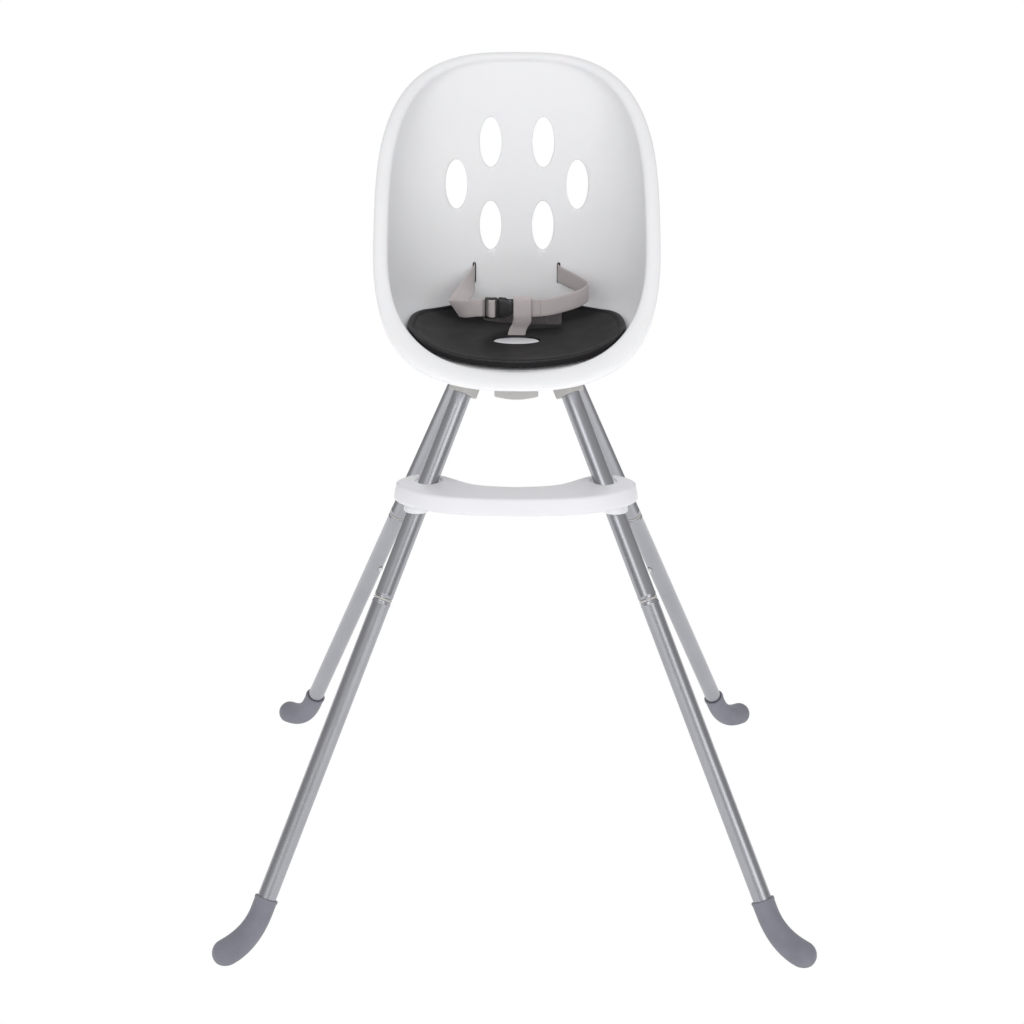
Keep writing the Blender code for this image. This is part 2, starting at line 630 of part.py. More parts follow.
def build_lever(mats):
    """A finger paddle hinged on a pin across the hub's front, with a leaf spring above it."""
    pivot = Vector(LEVER_PIVOT)
    half = 0.0235
    side = [(0.0045, 0.0035), (0.0045, -0.0045), (-0.0180, -0.0065), (-0.0325, -0.0125),
            (-0.0355, -0.0110), (-0.0355, 0.0010), (-0.0260, 0.0035)]
    rings = []
    for k in range(9):
        x = -half + 2 * half * k / 8
        belly = 1 - 0.28 * (x / half) ** 2
        rings.append([Vector((x, y, z * belly if z < -0.010 else z)) for y, z in side])
    lever = add("release_lever", mesh_of("release_lever", loft(rings), mats["grey"]), Matrix.Translation(pivot))
    bore = rod([(LEVER_PIN_RADIUS + GAP, -0.03), (LEVER_PIN_RADIUS + GAP, 0.03)], 16)
    combine(lever, helper("lever_bore", bore, mats["grey"], across_matrix(pivot)), "DIFFERENCE")
    pin = rod([(LEVER_PIN_RADIUS, -0.0305), (LEVER_PIN_RADIUS, 0.0305)], 16)
    add("lever_pin", mesh_of("lever_pin", pin, mats["steel"]), across_matrix(pivot))
    leaf = [(0.0, -0.0065, 0.0062), (0.0, 0.0005, 0.0060), (0.0, -0.0060, 0.0042)]
    rings = ribbon_rings([(point, ACROSS) for point in leaf], 0.010, 0.0004)
    add("lever_spring", mesh_of("lever_spring", loft(rings), mats["steel"]), Matrix.Translation(pivot))


# ---------------------------------------------------------------- footrest

def build_footrest(mats):
    """A bowed step that snaps onto the front legs from the front."""
    foam = mats["white"]
    half = smooth_curve([(x, y, 0.0) for x, y in FOOTREST_EDGE], 4)
    outline = half + [Vector((-p.x, p.y, 0.0)) for p in reversed(half[1:-1])]
    rise = FOOTREST_TOP - FOOTREST_BOTTOM
    layers = [(0.0045, 0.0), (0.0012, 0.0016), (0.0, 0.0050), (0.0, rise - 0.0050),
              (0.0014, rise - 0.0014), (0.0050, rise)]
    rings = []
    for inset, height in layers:
        ring = []
        for i, point in enumerate(outline):
            flare = END_FLARE * (height / rise) * min(max(abs(point.x) / 0.04 - 2.2, 0.0), 1.0)
            ring.append(inset_point(outline, i, inset + flare) + Vector((0, 0, FOOTREST_BOTTOM + height)))
        rings.append(ring)
    rest = add("footrest", mesh_of("footrest", loft(rings), foam))
    nubs = []
    for number, sign in enumerate((-1, 1), 1):
        nub = rod([(0.0020, FOOTREST_BOTTOM - 0.0022), (0.0030, FOOTREST_BOTTOM - 0.0012),
                   (0.0030, FOOTREST_BOTTOM + 0.004)], 16)
        bmesh.ops.translate(nub, vec=(sign * FOOTREST_NUB[0], FOOTREST_NUB[1], 0.0), verts=nub.verts)
        nubs.append(helper("footrest_nub_%d" % number, nub, foam))
    combine_all(rest, nubs, "UNION")
    for side, corner in (("left", "fl"), ("right", "fr")):
        cutter = swept_tube_cutter("footrest_notch_" + side, corner, TUBE_RADIUS + GAP, foam)
        combine(rest, cutter, "DIFFERENCE")
        build_clip(side, corner, mats)


def inset_point(outline, index, inset):
    """Move an outline point inward by a distance."""
    count = len(outline)
    tangent = (outline[(index + 1) % count] - outline[index - 1]).normalized()
    inward = Vector((-tangent.y, tangent.x, 0.0))
    return outline[index] + inward * inset


def leg_centre(corner, z):
    angle = math.radians(LEG_TURNS[corner])
    return Vector((leg_radius(z) * math.cos(angle), leg_radius(z) * math.sin(angle), z))


def swept_tube_cutter(name, corner, radius, mat):
    """The space a front leg needs as the footrest is drawn off forwards: a slot open to the rear."""
    outward = leg_centre(corner, 0.0).normalized()
    sideways = Vector((-outward.y, outward.x, 0.0))
    steps = 28
    rings = []
    for z in (CLIP_BOTTOM - 0.01, FOOTREST_TOP + 0.01):
        ring = []
        for i in range(steps):
            angle = math.tau * (i + 0.5) / steps
            offset = outward * (radius / math.cos(LEG_TILT) * math.cos(angle)) + sideways * radius * math.sin(angle)
            normal = outward * math.cos(LEG_TILT) * math.cos(angle) + sideways * math.sin(angle)
            draw = NOTCH_REACH if normal.y > 0 else 0.0
            ring.append(leg_centre(corner, z) + offset + Vector((0.0, draw, 0.0)))
        rings.append(ring)
    return helper(name, loft(rings), mat)


def build_clip(side, corner, mats):
    """A collar under the step that grips three quarters of the leg."""
    rings = []
    for z in (CLIP_BOTTOM, FOOTREST_BOTTOM - GAP):
        centre = leg_centre(corner, z)
        rings.append(circle(CLIP_RADIUS, z, 28, centre.x, centre.y))
    clip = add("footrest_clip_" + side, mesh_of("footrest_clip_" + side, loft(rings), mats["white"]))
    notch = swept_tube_cutter("clip_notch_" + side, corner, TUBE_RADIUS + GAP, mats["white"])
    combine(clip, notch, "DIFFERENCE")


# ---------------------------------------------------------------- harness

def ribbon_rings(places, width, thick, steps=4):
    """Rings of a flat strip along a smooth curve through (centre, width direction) places."""
    path = smooth_curve([centre for centre, _ in places], steps)
    wides = smooth_curve([wide for _, wide in places], steps)
    last = len(path) - 1
    rings = []
    for i, (point, wide) in enumerate(zip(path, wides)):
        tangent = path[min(i + 1, last)] - path[max(i - 1, 0)]
        out = tangent.cross(wide).normalized()
        rings.append([point + wide * (width / 2 * a) + out * (thick / 2 * b)
                      for a, b in ((-1, -1), (1, -1), (1, 1), (-1, 1))])
    return rings


def build_strap(name, places, mat):
    return add(name, mesh_of(name, loft(ribbon_rings(places, WEB_WIDTH, WEB_THICK)), mat))


def build_crotch_strap(webbing):
    """Up through the seat and closed in a flat loop round the waist strap."""
    strap = build_strap("crotch_strap", CROTCH_STEM, webbing)
    combine(strap, helper("crotch_loop", loop_band(), webbing), "UNION")


def loop_band():
    """A closed flat loop of webbing that faces along X."""
    steps = 20
    half = WEB_WIDTH / 2
    rings = []
    for grow, x in ((WEB_THICK, -half), (WEB_THICK, half), (0.0, half), (0.0, -half)):
        ring = []
        for i in range(steps):
            angle = math.tau * i / steps
            offset = Vector((x, signed_power(math.cos(angle), 0.7) * (LOOP_HALF_DEPTH + grow),
                             signed_power(math.sin(angle), 0.7) * (LOOP_HALF_HEIGHT + grow)))
            ring.append(Vector(CROTCH_LOOP) + offset)
        rings.append(ring)
    return loft(rings, loop=True)


def build_buckle(mats):
    """A side-release buckle: a socket half, a tongue half and its two squeeze arms."""
    black = mats["black"]
    x, y, z = BUCKLE
    socket = add("buckle_socket", mesh_of("buckle_socket", slab((0.0150, 0.0090, 0.0235), (x + 0.0085, y, z), 0.0012),
                                          black))
    mouth = slab((0.0130, 0.0056, 0.0300), (x + 0.0055, y, z))
    combine(socket, helper("buckle_mouth", mouth, black), "DIFFERENCE")
    body = slab((0.0140, 0.0080, 0.0235), (x - 0.0075, y, z), 0.0012)
    tongue = add("buckle_tongue", mesh_of("buckle_tongue", body, black))
    nose = slab((0.0140, 0.0040, 0.0036), (x + 0.0030, y, z), 0.0006)
    combine(tongue, helper("tongue_nose", nose, black), "UNION")
    slot = slab((0.0034, 0.02, 0.0200), (x - 0.0105, y, z))
    combine(tongue, helper("tongue_slot", slot, black), "DIFFERENCE")
    for name, sign in (("top", 1), ("bottom", -1)):
        arm = slab((0.0085, 0.0040, 0.0030), (x + 0.0046, y, z + sign * 0.0054), 0.0006)
        pad = slab((0.0045, 0.0040, 0.0054), (x + 0.0066, y, z + sign * 0.0090), 0.0010)
        obj = add("buckle_arm_" + name, mesh_of("buckle_arm_" + name, arm, black))
        combine(obj, helper("arm_pad_" + name, pad, black), "UNION")


def build_anchors(mats):
    """Bars that stop the straps from pulling through the foam."""
    for side, sign in (("left", -1), ("right", 1)):
        bar = slab((0.012, 0.0030, 0.030), (sign * STRAP_SLOT_X, ANCHOR_Y, STRAP_SLOT_Z), 0.0008)
        add("strap_anchor_" + side, mesh_of("strap_anchor_" + side, bar, mats["black"]))
    bar = slab((0.030, 0.011, 0.0026), (0.0, CROTCH_Y, 0.5645), 0.0006)
    add("crotch_anchor", mesh_of("crotch_anchor", bar, mats["black"]))


def build_harness(mats):
    build_strap("waist_strap_left", WAIST_LEFT, mats["webbing"])
    build_strap("waist_strap_right", WAIST_RIGHT, mats["webbing"])
    build_strap("strap_tail", STRAP_TAIL, mats["webbing"])
    build_crotch_strap(mats["webbing"])
    build_buckle(mats)
    build_anchors(mats)


def main():
    clear_scene()
    mats = {
        "foam": material("foam", (0.86, 0.86, 0.88), 0.55),
        "white": material("white", (0.84, 0.84, 0.86), 0.40),
        "charcoal": material("charcoal", (0.065, 0.062, 0.065), 0.50),
        "grey": material("grey", (0.52, 0.52, 0.48), 0.50),
        "aluminium": material("aluminium", (0.55, 0.56, 0.60), 0.32, 1.0),
        "steel": material("steel", (0.62, 0.62, 0.62), 0.30, 1.0),
        "rubber": material("rubber", (0.19, 0.19, 0.21), 0.60),
        "webbing": material("webbing", (0.40, 0.35, 0.34), 0.85),
        "black": material("black", (0.015, 0.015, 0.016), 0.35),
    }
    build_legs(mats)
    build_shell(mats)
    build_liner(mats)
    build_hub(mats)
    build_cap_and_screws(mats)
    build_lever(mats)
    build_footrest(mats)
    build_harness(mats)


main()
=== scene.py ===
"""Looks of the baby high chair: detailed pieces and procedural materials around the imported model.

Metres, +Z up. The chair faces -Y and stands on z = 0, with the hub's axis on x = y = 0.
"""

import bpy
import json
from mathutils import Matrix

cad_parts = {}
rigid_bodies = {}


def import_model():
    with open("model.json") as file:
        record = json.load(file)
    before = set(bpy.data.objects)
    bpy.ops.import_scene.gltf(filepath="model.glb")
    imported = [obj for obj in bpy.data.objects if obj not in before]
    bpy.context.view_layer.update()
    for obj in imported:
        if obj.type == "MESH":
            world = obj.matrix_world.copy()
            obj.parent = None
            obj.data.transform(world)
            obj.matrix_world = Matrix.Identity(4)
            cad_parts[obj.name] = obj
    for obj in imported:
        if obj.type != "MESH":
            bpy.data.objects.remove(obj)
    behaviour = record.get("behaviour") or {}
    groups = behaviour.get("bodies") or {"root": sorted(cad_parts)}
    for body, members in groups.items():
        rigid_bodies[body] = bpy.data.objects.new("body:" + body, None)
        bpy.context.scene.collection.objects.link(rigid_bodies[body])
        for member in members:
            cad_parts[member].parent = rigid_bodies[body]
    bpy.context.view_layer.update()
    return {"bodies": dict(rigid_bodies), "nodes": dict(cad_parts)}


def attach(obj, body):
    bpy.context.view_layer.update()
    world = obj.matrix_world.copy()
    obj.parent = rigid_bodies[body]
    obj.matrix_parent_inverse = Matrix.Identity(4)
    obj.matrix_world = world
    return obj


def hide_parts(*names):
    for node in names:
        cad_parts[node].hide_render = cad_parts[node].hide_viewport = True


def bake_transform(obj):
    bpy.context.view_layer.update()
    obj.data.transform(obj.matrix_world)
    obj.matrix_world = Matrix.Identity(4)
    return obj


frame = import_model()

import json
import math

import bmesh
import bpy
from mathutils import Matrix, Vector, noise

GAP = 0.0003  # clearance kept between pieces that touch

# Legs
LEG_FOOT_RADIUS = 0.4046
LEG_TILT = math.radians(30.13)
LEG_TURNS = {"fl": 225.0, "fr": 315.0, "rl": 135.0, "rr": 45.0}
TUBE_RADIUS = 0.0101
TUBE_BORE = 0.0088
LEG_TOP_Z = 0.5725
JOINT_Z = 0.347
TUBE_FOOT_Z = 0.037
SPIGOT_RADIUS = 0.0084
SPIGOT_BORE = 0.0072
SPIGOT_UP = 0.045
SPIGOT_DOWN = 0.100
RING_HEIGHT = 0.0024
TUBE_EASE = 0.0006
TUBE_BEAD = [(0.0022, 0.0), (0.0030, 0.0003), (0.0040, 0.0003), (0.0048, 0.0)]  # from the end, rise
BUTTON_DROP = 0.085
BUTTON_RADIUS = 0.0035
BUTTON_PROUD = 0.0022

# Feet
FOOT_RADIUS = 0.0122
TOE_RADIUS = 0.0145
FOOT_TOP_Z = 0.053
FOOT_STRAIGHT = 0.014
FOOT_BEND = 0.046
TOE_REACH = 0.4303
TOE_HEIGHT = 0.0105

# Seat shell: a bowl hung from a rim plane that leans back from the front lip
RIM_LEAN = math.radians(47.95)
RIM_LIP_Y = -0.135
RIM_LIP_Z = 0.584
RIM_MIDDLE = 0.180
RIM_DOWN_POWER = 2.55
RIM_UP_POWER = 2.9
WALL_POWER = 2.8
OUTER = {"half": 0.1555, "down": 0.187, "up": 0.2415, "floor": 1.109, "back": 0.720}
INNER = {"half": 0.1395, "down": 0.163, "up": 0.2305, "floor": 1.109, "back": 0.676}
CORNER_ROUND = 0.030
RIM_WAVE = 0.009
RIM_BULGE = 0.006
HOLE_SIZE = (0.0125, 0.028)
HOLE_CENTRES = [(-0.030, 0.800), (0.030, 0.800), (-0.069, 0.7535), (0.069, 0.7535),
                (-0.030, 0.707), (0.030, 0.707)]
STRAP_SLOT_X = 0.0485
STRAP_SLOT_Z = 0.6545
STRAP_SLOT_WIDE = 0.0038
STRAP_SLOT_HIGH = 0.0236
CROTCH_Y = 0.010

# Hub
HUB_TOP = 0.5810
HUB_BOTTOM = 0.5610
HUB_RADIUS = 0.066
RECESS_RADIUS = 0.092
SOCKET_BOTTOM_Z = 0.5550
POCKET_FLOOR = 0.5905
CAP_THICK = 0.0026
CAP_TOP = 0.6030  # of the oval island that fills the liner's opening
SCREW_RADIUS = 0.0020
SCREW_SPREAD = 0.0270
LEVER_PIVOT = Vector((0.0, -0.050, 0.5665))
LEVER_PIN_RADIUS = 0.0016
BUTTON_LEAF = (0.005, 0.0006)  # width and thickness of the leaf behind a snap button
LEVER_LEAF = (0.010, 0.0004)

# Footrest
FOOTREST_TOP = 0.467
FOOTREST_BOTTOM = 0.4465
CLIP_BOTTOM = 0.4370
END_FLARE = 0.004  # how far the top edge stands in from the bottom one at the ends
FOOTREST_NUB = (0.1235, -0.098)
NOTCH_REACH = 0.08
FOOTREST_EDGE = [(0.0, -0.160), (0.070, -0.153), (0.117, -0.127), (0.133, -0.097),
                 (0.114, -0.071), (0.082, -0.0745), (0.044, -0.107), (0.0, -0.1155)]

# Seat liner, in the rim plane
LINER_MIDDLE = 0.0905
LINER_HALF = 0.1225
LINER_UP = 0.0990
LINER_DOWN = 0.0725
LINER_UP_POWER = 2.7
LINER_DOWN_POWER = 1.8
LINER_LOW = 0.0027
LINER_THICK = 0.0046
LINER_BEAD = 0.0012
LINER_OVAL = (0.026, 0.017, -0.0155)

# Harness
WEB_WIDTH = 0.0195
WEB_THICK = 0.0014
UPRIGHT = (0.0, 0.0, 1.0)
ACROSS = (1.0, 0.0, 0.0)
WAIST_LEFT = [
    ((-0.0485, 0.1212, 0.6545), UPRIGHT),
    ((-0.0485, 0.1120, 0.6545), UPRIGHT),
    ((-0.0487, 0.1010, 0.6540), UPRIGHT),
    ((-0.0515, 0.0850, 0.6490), (-0.35, 0.0, 0.94)),
    ((-0.0555, 0.0660, 0.6440), (-0.72, 0.0, 0.69)),
    ((-0.0605, 0.0490, 0.6405), (-0.90, 0.0, 0.43)),
    ((-0.0645, 0.0370, 0.6365), (-0.88, 0.0, 0.48)),
    ((-0.0680, 0.0310, 0.6310), (-0.67, 0.0, 0.84)),
    ((-0.0695, 0.0270, 0.6300), (-0.62, 0.0, 0.88)),
    ((-0.0660, 0.0215, 0.6305), (-0.40, 0.0, 0.95)),
    ((-0.0560, 0.0120, 0.6325), (-0.10, 0.0, 1.0)),
    ((-0.0455, 0.0062, 0.6348), UPRIGHT),
    ((-0.0392, 0.0048, 0.6355), UPRIGHT),
]
ADJUSTER_WRAP = [(-0.0355, 0.0062, 0.6355), (-0.0322, 0.0050, 0.6355), (-0.0296, 0.0005, 0.6355),
                 (-0.0270, -0.0008, 0.6355), (-0.0245, 0.0008, 0.6355), (-0.0232, 0.0050, 0.6355)]
WAIST_RIGHT = [(0.0485, 0.1212, 0.6545), (0.0485, 0.1120, 0.6545), (0.0487, 0.1010, 0.6540),
               (0.0590, 0.0830, 0.6520), (0.0740, 0.0620, 0.6480), (0.0800, 0.0380, 0.6465),
               (0.0680, 0.0180, 0.6430), (0.0400, 0.0055, 0.6375), (0.0180, 0.0040, 0.6355),
               (-0.0038, 0.0045, 0.6355)]
STRAP_TAIL = [(-0.0250, 0.0105, 0.6345), (-0.0330, 0.0125, 0.6320), (-0.0360, 0.0180, 0.6290),
              (-0.0260, 0.0300, 0.6240), (-0.0050, 0.0420, 0.6190), (0.0220, 0.0460, 0.6170),
              (0.0510, 0.0460, 0.6172)]
CROTCH_X = 0.0065
CROTCH_PATH = [(0.0, 0.0100, 0.5665), (0.0, 0.0100, 0.600), (0.002, 0.0090, 0.611),
               (CROTCH_X, 0.0035, 0.6200), (CROTCH_X, -0.0002, 0.6270), (CROTCH_X, -0.0006, 0.6355),
               (CROTCH_X, 0.0006, 0.6450), (CROTCH_X, 0.0042, 0.6480), (CROTCH_X, 0.0080, 0.6450),
               (CROTCH_X, 0.0092, 0.6355), (CROTCH_X, 0.0085, 0.6250), (0.005, 0.0075, 0.6180)]
BUCKLE = Vector((-0.0205, 0.0045, 0.6355))
# Rings of the buckle's halves: x, half height, half depth
SOCKET_RINGS = [(-0.0200, 0.0106, 0.0032), (-0.0198, 0.0112, 0.0040), (-0.0190, 0.0116, 0.0044),
                (-0.0140, 0.0115, 0.0045), (-0.0110, 0.0104, 0.0045), (-0.0080, 0.0086, 0.0045),
                (-0.0060, 0.0075, 0.0043), (-0.0048, 0.0070, 0.0038), (-0.0043, 0.0062, 0.0030)]
TONGUE_RINGS = [(-0.0350, 0.0108, 0.0028), (-0.0346, 0.0114, 0.0036), (-0.0336, 0.0117, 0.0040),
                (-0.0228, 0.0117, 0.0040), (-0.0216, 0.0114, 0.0038), (-0.0203, 0.0105, 0.0030)]
WEAVE_PITCH = (0.0021, 0.0017)  # along and across the webbing
WEB_SECTION = [(-1.0, 0.0), (-0.985, 0.6), (-0.94, 0.95), (-0.6, 1.0), (-0.3, 1.0), (0.0, 1.0), (0.3, 1.0),
               (0.6, 1.0), (0.94, 0.95), (0.985, 0.6), (1.0, 0.0), (0.985, -0.6), (0.94, -0.95), (0.6, -1.0),
               (0.3, -1.0), (0.0, -1.0), (-0.3, -1.0), (-0.6, -1.0), (-0.94, -0.95), (-0.985, -0.6)]

# Camera and room
CAMERA_PLACE = (-0.0042, -2.0661, 1.0904)
CAMERA_DOWN = math.radians(18.49)
CAMERA_ROLL = 0.00355
CAMERA_LENS = 67.15
SENSOR_WIDTH = 36.0
FLOOR_RADIUS = 3.2
FLOOR_DROP = 0.0006
GLOW_START = 0.5  # how far from the chair the floor starts to brighten
GLOW_NEAR = 0.45
GLOW_FAR = 0.85
HORIZON = 0.05
ZENITH = 0.9
WHITE = (1.0, 1.0, 1.0, 1.0)
WORLD_LOW = 0.42
WORLD_HIGH = 0.66
LIGHT_TARGET = (0.0, 0.0, 0.55)
LIGHTS = [("key", (-1.3, -2.9, 2.0), (1.6, 1.6), 14.5),
          ("fill", (1.5, -2.8, 1.3), (1.4, 1.4), 11.5),
          ("front", (0.0, -3.4, 1.5), (2.4, 1.2), 13.0),
          ("top", (0.0, 0.3, 3.2), (2.4, 2.4), 6.0),
          ("back", (0.0, 2.8, 1.6), (2.4, 1.4), 7.0)]


# ---------------------------------------------------------------- mesh helpers

def signed_power(value, power):
    return math.copysign(abs(value) ** power, value)


def smooth_curve(points, steps):
    """Points along a Catmull-Rom curve through the given ones."""
    points = [Vector(point) for point in points]
    last = len(points) - 1
    result = []
    for i in range(last):
        a, b, c, d = points[max(i - 1, 0)], points[i], points[i + 1], points[min(i + 2, last)]
        for k in range(steps):
            t = k / steps
            result.append(0.5 * ((2 * b) + (c - a) * t + (2 * a - 5 * b + 4 * c - d) * t * t
                                 + (3 * b - a - 3 * c + d) * t ** 3))
    result.append(points[-1])
    return result


def loft(rings, loop=False):
    """Skin equal rings of points; both ends are capped, or the last ring joins the first."""
    bm = bmesh.new()
    rows = [[bm.verts.new(point) for point in ring] for ring in rings]
    count = len(rows[0])
    pairs = list(zip(rows, rows[1:]))
    if loop:
        pairs.append((rows[-1], rows[0]))
    for low, high in pairs:
        for i in range(count):
            j = (i + 1) % count
            bm.faces.new((low[i], low[j], high[j], high[i]))
    if not loop:
        bm.faces.new(rows[0])
        bm.faces.new(rows[-1])
    return bm


def circle(radius, z, steps, x=0.0, y=0.0):
    return [Vector((x + radius * math.cos(math.tau * i / steps),
                    y + radius * math.sin(math.tau * i / steps), z)) for i in range(steps)]


def squircle(half_x, half_y, power, steps):
    """Outline of a rounded rectangle about the origin."""
    return [(half_x * signed_power(math.cos(math.tau * (i + 0.5) / steps), 2 / power),
             half_y * signed_power(math.sin(math.tau * (i + 0.5) / steps), 2 / power))
            for i in range(steps)]


def rod(profile, steps=48):
    """A solid turned about local Z from (radius, z) points."""
    return loft([circle(radius, z, steps) for radius, z in profile])


def slab(size, centre, bevel=0.0, segments=3):
    """A box of full sizes about a centre, with rounded edges."""
    bm = bmesh.new()
    bmesh.ops.create_cube(bm, size=1.0)
    bmesh.ops.scale(bm, vec=size, verts=bm.verts)
    bmesh.ops.translate(bm, vec=centre, verts=bm.verts)
    if bevel > 0.0:
        bmesh.ops.bevel(bm, geom=list(bm.edges), offset=bevel, segments=segments, profile=0.5,
                        affect="EDGES")
    return bm


def object_of(name, bm, mat, matrix=None, sharp=35.0):
    """A smooth-shaded object whose edges above the sharp angle stay crisp."""
    bmesh.ops.recalc_face_normals(bm, faces=bm.faces)
    mesh = bpy.data.meshes.new(name)
    bm.to_mesh(mesh)
    bm.free()
    if mat is not None:
        mesh.materials.append(mat)
    mesh.shade_smooth()
    mesh.set_sharp_from_angle(angle=math.radians(sharp))
    obj = bpy.data.objects.new(name, mesh)
    bpy.context.scene.collection.objects.link(obj)
    if matrix is not None:
        obj.matrix_world = matrix
    return obj


def carve(obj, cutters, operation="DIFFERENCE", sharp=35.0):
    """Apply one Boolean with all the helpers at once, then remove them."""
    group = bpy.data.collections.new(obj.name + "_cut")
    for cutter in cutters:
        group.objects.link(cutter)
    mod = obj.modifiers.new("cut", "BOOLEAN")
    mod.operation = operation
    mod.solver = "EXACT"
    mod.operand_type = "COLLECTION"
    mod.collection = group
    bake(obj, sharp)
    for cutter in cutters:
        bpy.data.objects.remove(cutter, do_unlink=True)
    bpy.data.collections.remove(group)
    return obj


def bake(obj, sharp=35.0):
    """Apply an object's modifiers to its mesh."""
    graph = bpy.context.evaluated_depsgraph_get()
    mesh = bpy.data.meshes.new_from_object(obj.evaluated_get(graph))
    obj.modifiers.clear()
    obj.data = mesh
    mesh.shade_smooth()
    mesh.set_sharp_from_angle(angle=math.radians(sharp))


def place(obj, body, slot, *nodes):
    """Attach a finished piece to the body it rides on and hide the solids it stands for; the slot argument
    is not used.
    """
    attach(obj, body)
    if nodes:
        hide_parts(*nodes)
    return obj


# ---------------------------------------------------------------- materials

def base_material(name, colour, roughness, metallic=0.0, **sockets):
    mat = bpy.data.materials.new(name)
    mat.use_nodes = True
    shader = mat.node_tree.nodes["Principled BSDF"]
    shader.inputs["Base Color"].default_value = (*colour, 1.0)
    shader.inputs["Roughness"].default_value = roughness
    shader.inputs["Metallic"].default_value = metallic
    for socket, value in sockets.items():
        shader.inputs[socket.replace("_", " ")].default_value = value
    return mat


def add_node(tree, kind, links=None, **values):
    """A shader node with its input values and its links, both by input name."""
    node = tree.nodes.new("ShaderNode" + kind)
    for socket, value in values.items():
        node.inputs[socket.replace("_", " ")].default_value = value
    for socket, source in (links or {}).items():
        tree.links.new(source, node.inputs[socket])
    return node


def math_node(tree, operation, *terms):
    """A Math node; each term is a number or another node's output."""
    node = tree.nodes.new("ShaderNodeMath")
    node.operation = operation
    for socket, term in zip(node.inputs, terms):
        if isinstance(term, float):
            socket.default_value = term
        else:
            tree.links.new(term, socket)
    return node.outputs[0]


def to_shader(mat, source, socket):
    mat.node_tree.links.new(source, mat.node_tree.nodes["Principled BSDF"].inputs[socket])


def noise_node(mat, scale, detail=3.0, stretch=(1.0, 1.0, 1.0)):
    """Noise in the object's own coordinates, in features per metre."""
    tree = mat.node_tree
    where = add_node(tree, "TexCoord").outputs["Object"]
    mapping = add_node(tree, "Mapping", {"Vector": where}, Scale=stretch).outputs["Vector"]
    return add_node(tree, "TexNoise", {"Vector": mapping}, Scale=scale, Detail=detail).outputs[0]


def ramp(mat, source, low, high, start=0.35, end=0.65):
    node = add_node(mat.node_tree, "ValToRGB", {"Fac": source})
    node.color_ramp.elements[0].position = start
    node.color_ramp.elements[1].position = end
    node.color_ramp.elements[0].color = low
    node.color_ramp.elements[1].color = high
    return node.outputs["Color"]


def tint(colour, share):
    return (*(min(c * share, 1.0) for c in colour), 1.0)


def vary_colour(mat, colour, spread, scale):
    """Slow variation of the base colour."""
    source = noise_node(mat, scale)
    to_shader(mat, ramp(mat, source, tint(colour, 1 - spread), tint(colour, 1 + spread)), "Base Color")


def vary_roughness(mat, low, high, scale, stretch=(1.0, 1.0, 1.0)):
    source = noise_node(mat, scale, 4.0, stretch)
    spread = add_node(mat.node_tree, "MapRange", {"Value": source}, To_Min=low, To_Max=high)
    to_shader(mat, spread.outputs["Result"], "Roughness")


def bump(mat, source, strength, depth, below=None):
    """Add a bump, on top of another bump where one is given."""
    links = {"Height": source}
    if below is not None:
        links["Normal"] = below
    node = add_node(mat.node_tree, "Bump", links, Strength=strength, Distance=depth)
    to_shader(mat, node.outputs["Normal"], "Normal")
    return node.outputs["Normal"]


def cells(mat, scale):
    """Small rounded cells, as on a moulded grain."""
    where = add_node(mat.node_tree, "TexCoord").outputs["Object"]
    texture = add_node(mat.node_tree, "TexVoronoi", {"Vector": where}, Scale=scale)
    texture.feature = "SMOOTH_F1"
    return texture.outputs["Distance"]


def grained_material(name, colour, roughness, patches, wear, grain, sheen=0.0):
    """Moulded plastic or rubber: slow patches of colour, uneven gloss and a fine cell grain."""
    mat = base_material(name, colour, roughness, Sheen_Weight=sheen)
    vary_colour(mat, colour, *patches)
    vary_roughness(mat, *wear)
    scale, strength, depth = grain
    bump(mat, cells(mat, scale), strength, depth)
    return mat


def foam_material():
    colour = (0.90, 0.90, 0.915)
    mat = base_material("foam_skin", colour, 0.52, Subsurface_Weight=0.06, Subsurface_Scale=0.004)
    vary_colour(mat, colour, 0.012, 9.0)
    vary_roughness(mat, 0.46, 0.60, 60.0)
    first = bump(mat, noise_node(mat, 520.0, 2.0), 0.10, 0.0002)
    bump(mat, cells(mat, 900.0), 0.10, 0.0001, first)
    return mat


def white_plastic():
    return grained_material("moulded_white", (0.80, 0.80, 0.83), 0.40, patches=(0.010, 14.0),
                            wear=(0.34, 0.46, 90.0), grain=(1400.0, 0.08, 0.0001))


def grey_plastic():
    return grained_material("moulded_grey", (0.48, 0.47, 0.455), 0.48, patches=(0.02, 25.0),
                            wear=(0.42, 0.55, 90.0), grain=(1300.0, 0.10, 0.0001))


def black_plastic():
    return grained_material("buckle_plastic", (0.014, 0.014, 0.015), 0.30, patches=(0.10, 80.0),
                            wear=(0.26, 0.40, 220.0), grain=(1800.0, 0.12, 0.0001))


def foot_material():
    return grained_material("foot_rubber", (0.205, 0.205, 0.245), 0.62, patches=(0.06, 40.0),
                            wear=(0.54, 0.70, 70.0), grain=(1100.0, 0.25, 0.0002), sheen=0.08)


def pad_material():
    colour = (0.013, 0.012, 0.013)
    mat = base_material("pad_skin", colour, 0.50, Sheen_Weight=0.02, Sheen_Roughness=0.45,
                        Specular_IOR_Level=0.14)
    vary_colour(mat, colour, 0.10, 22.0)
    vary_roughness(mat, 0.42, 0.58, 45.0)
    first = bump(mat, noise_node(mat, 60.0, 3.0), 0.12, 0.0006)
    bump(mat, cells(mat, 850.0), 0.35, 0.0002, first)
    return mat


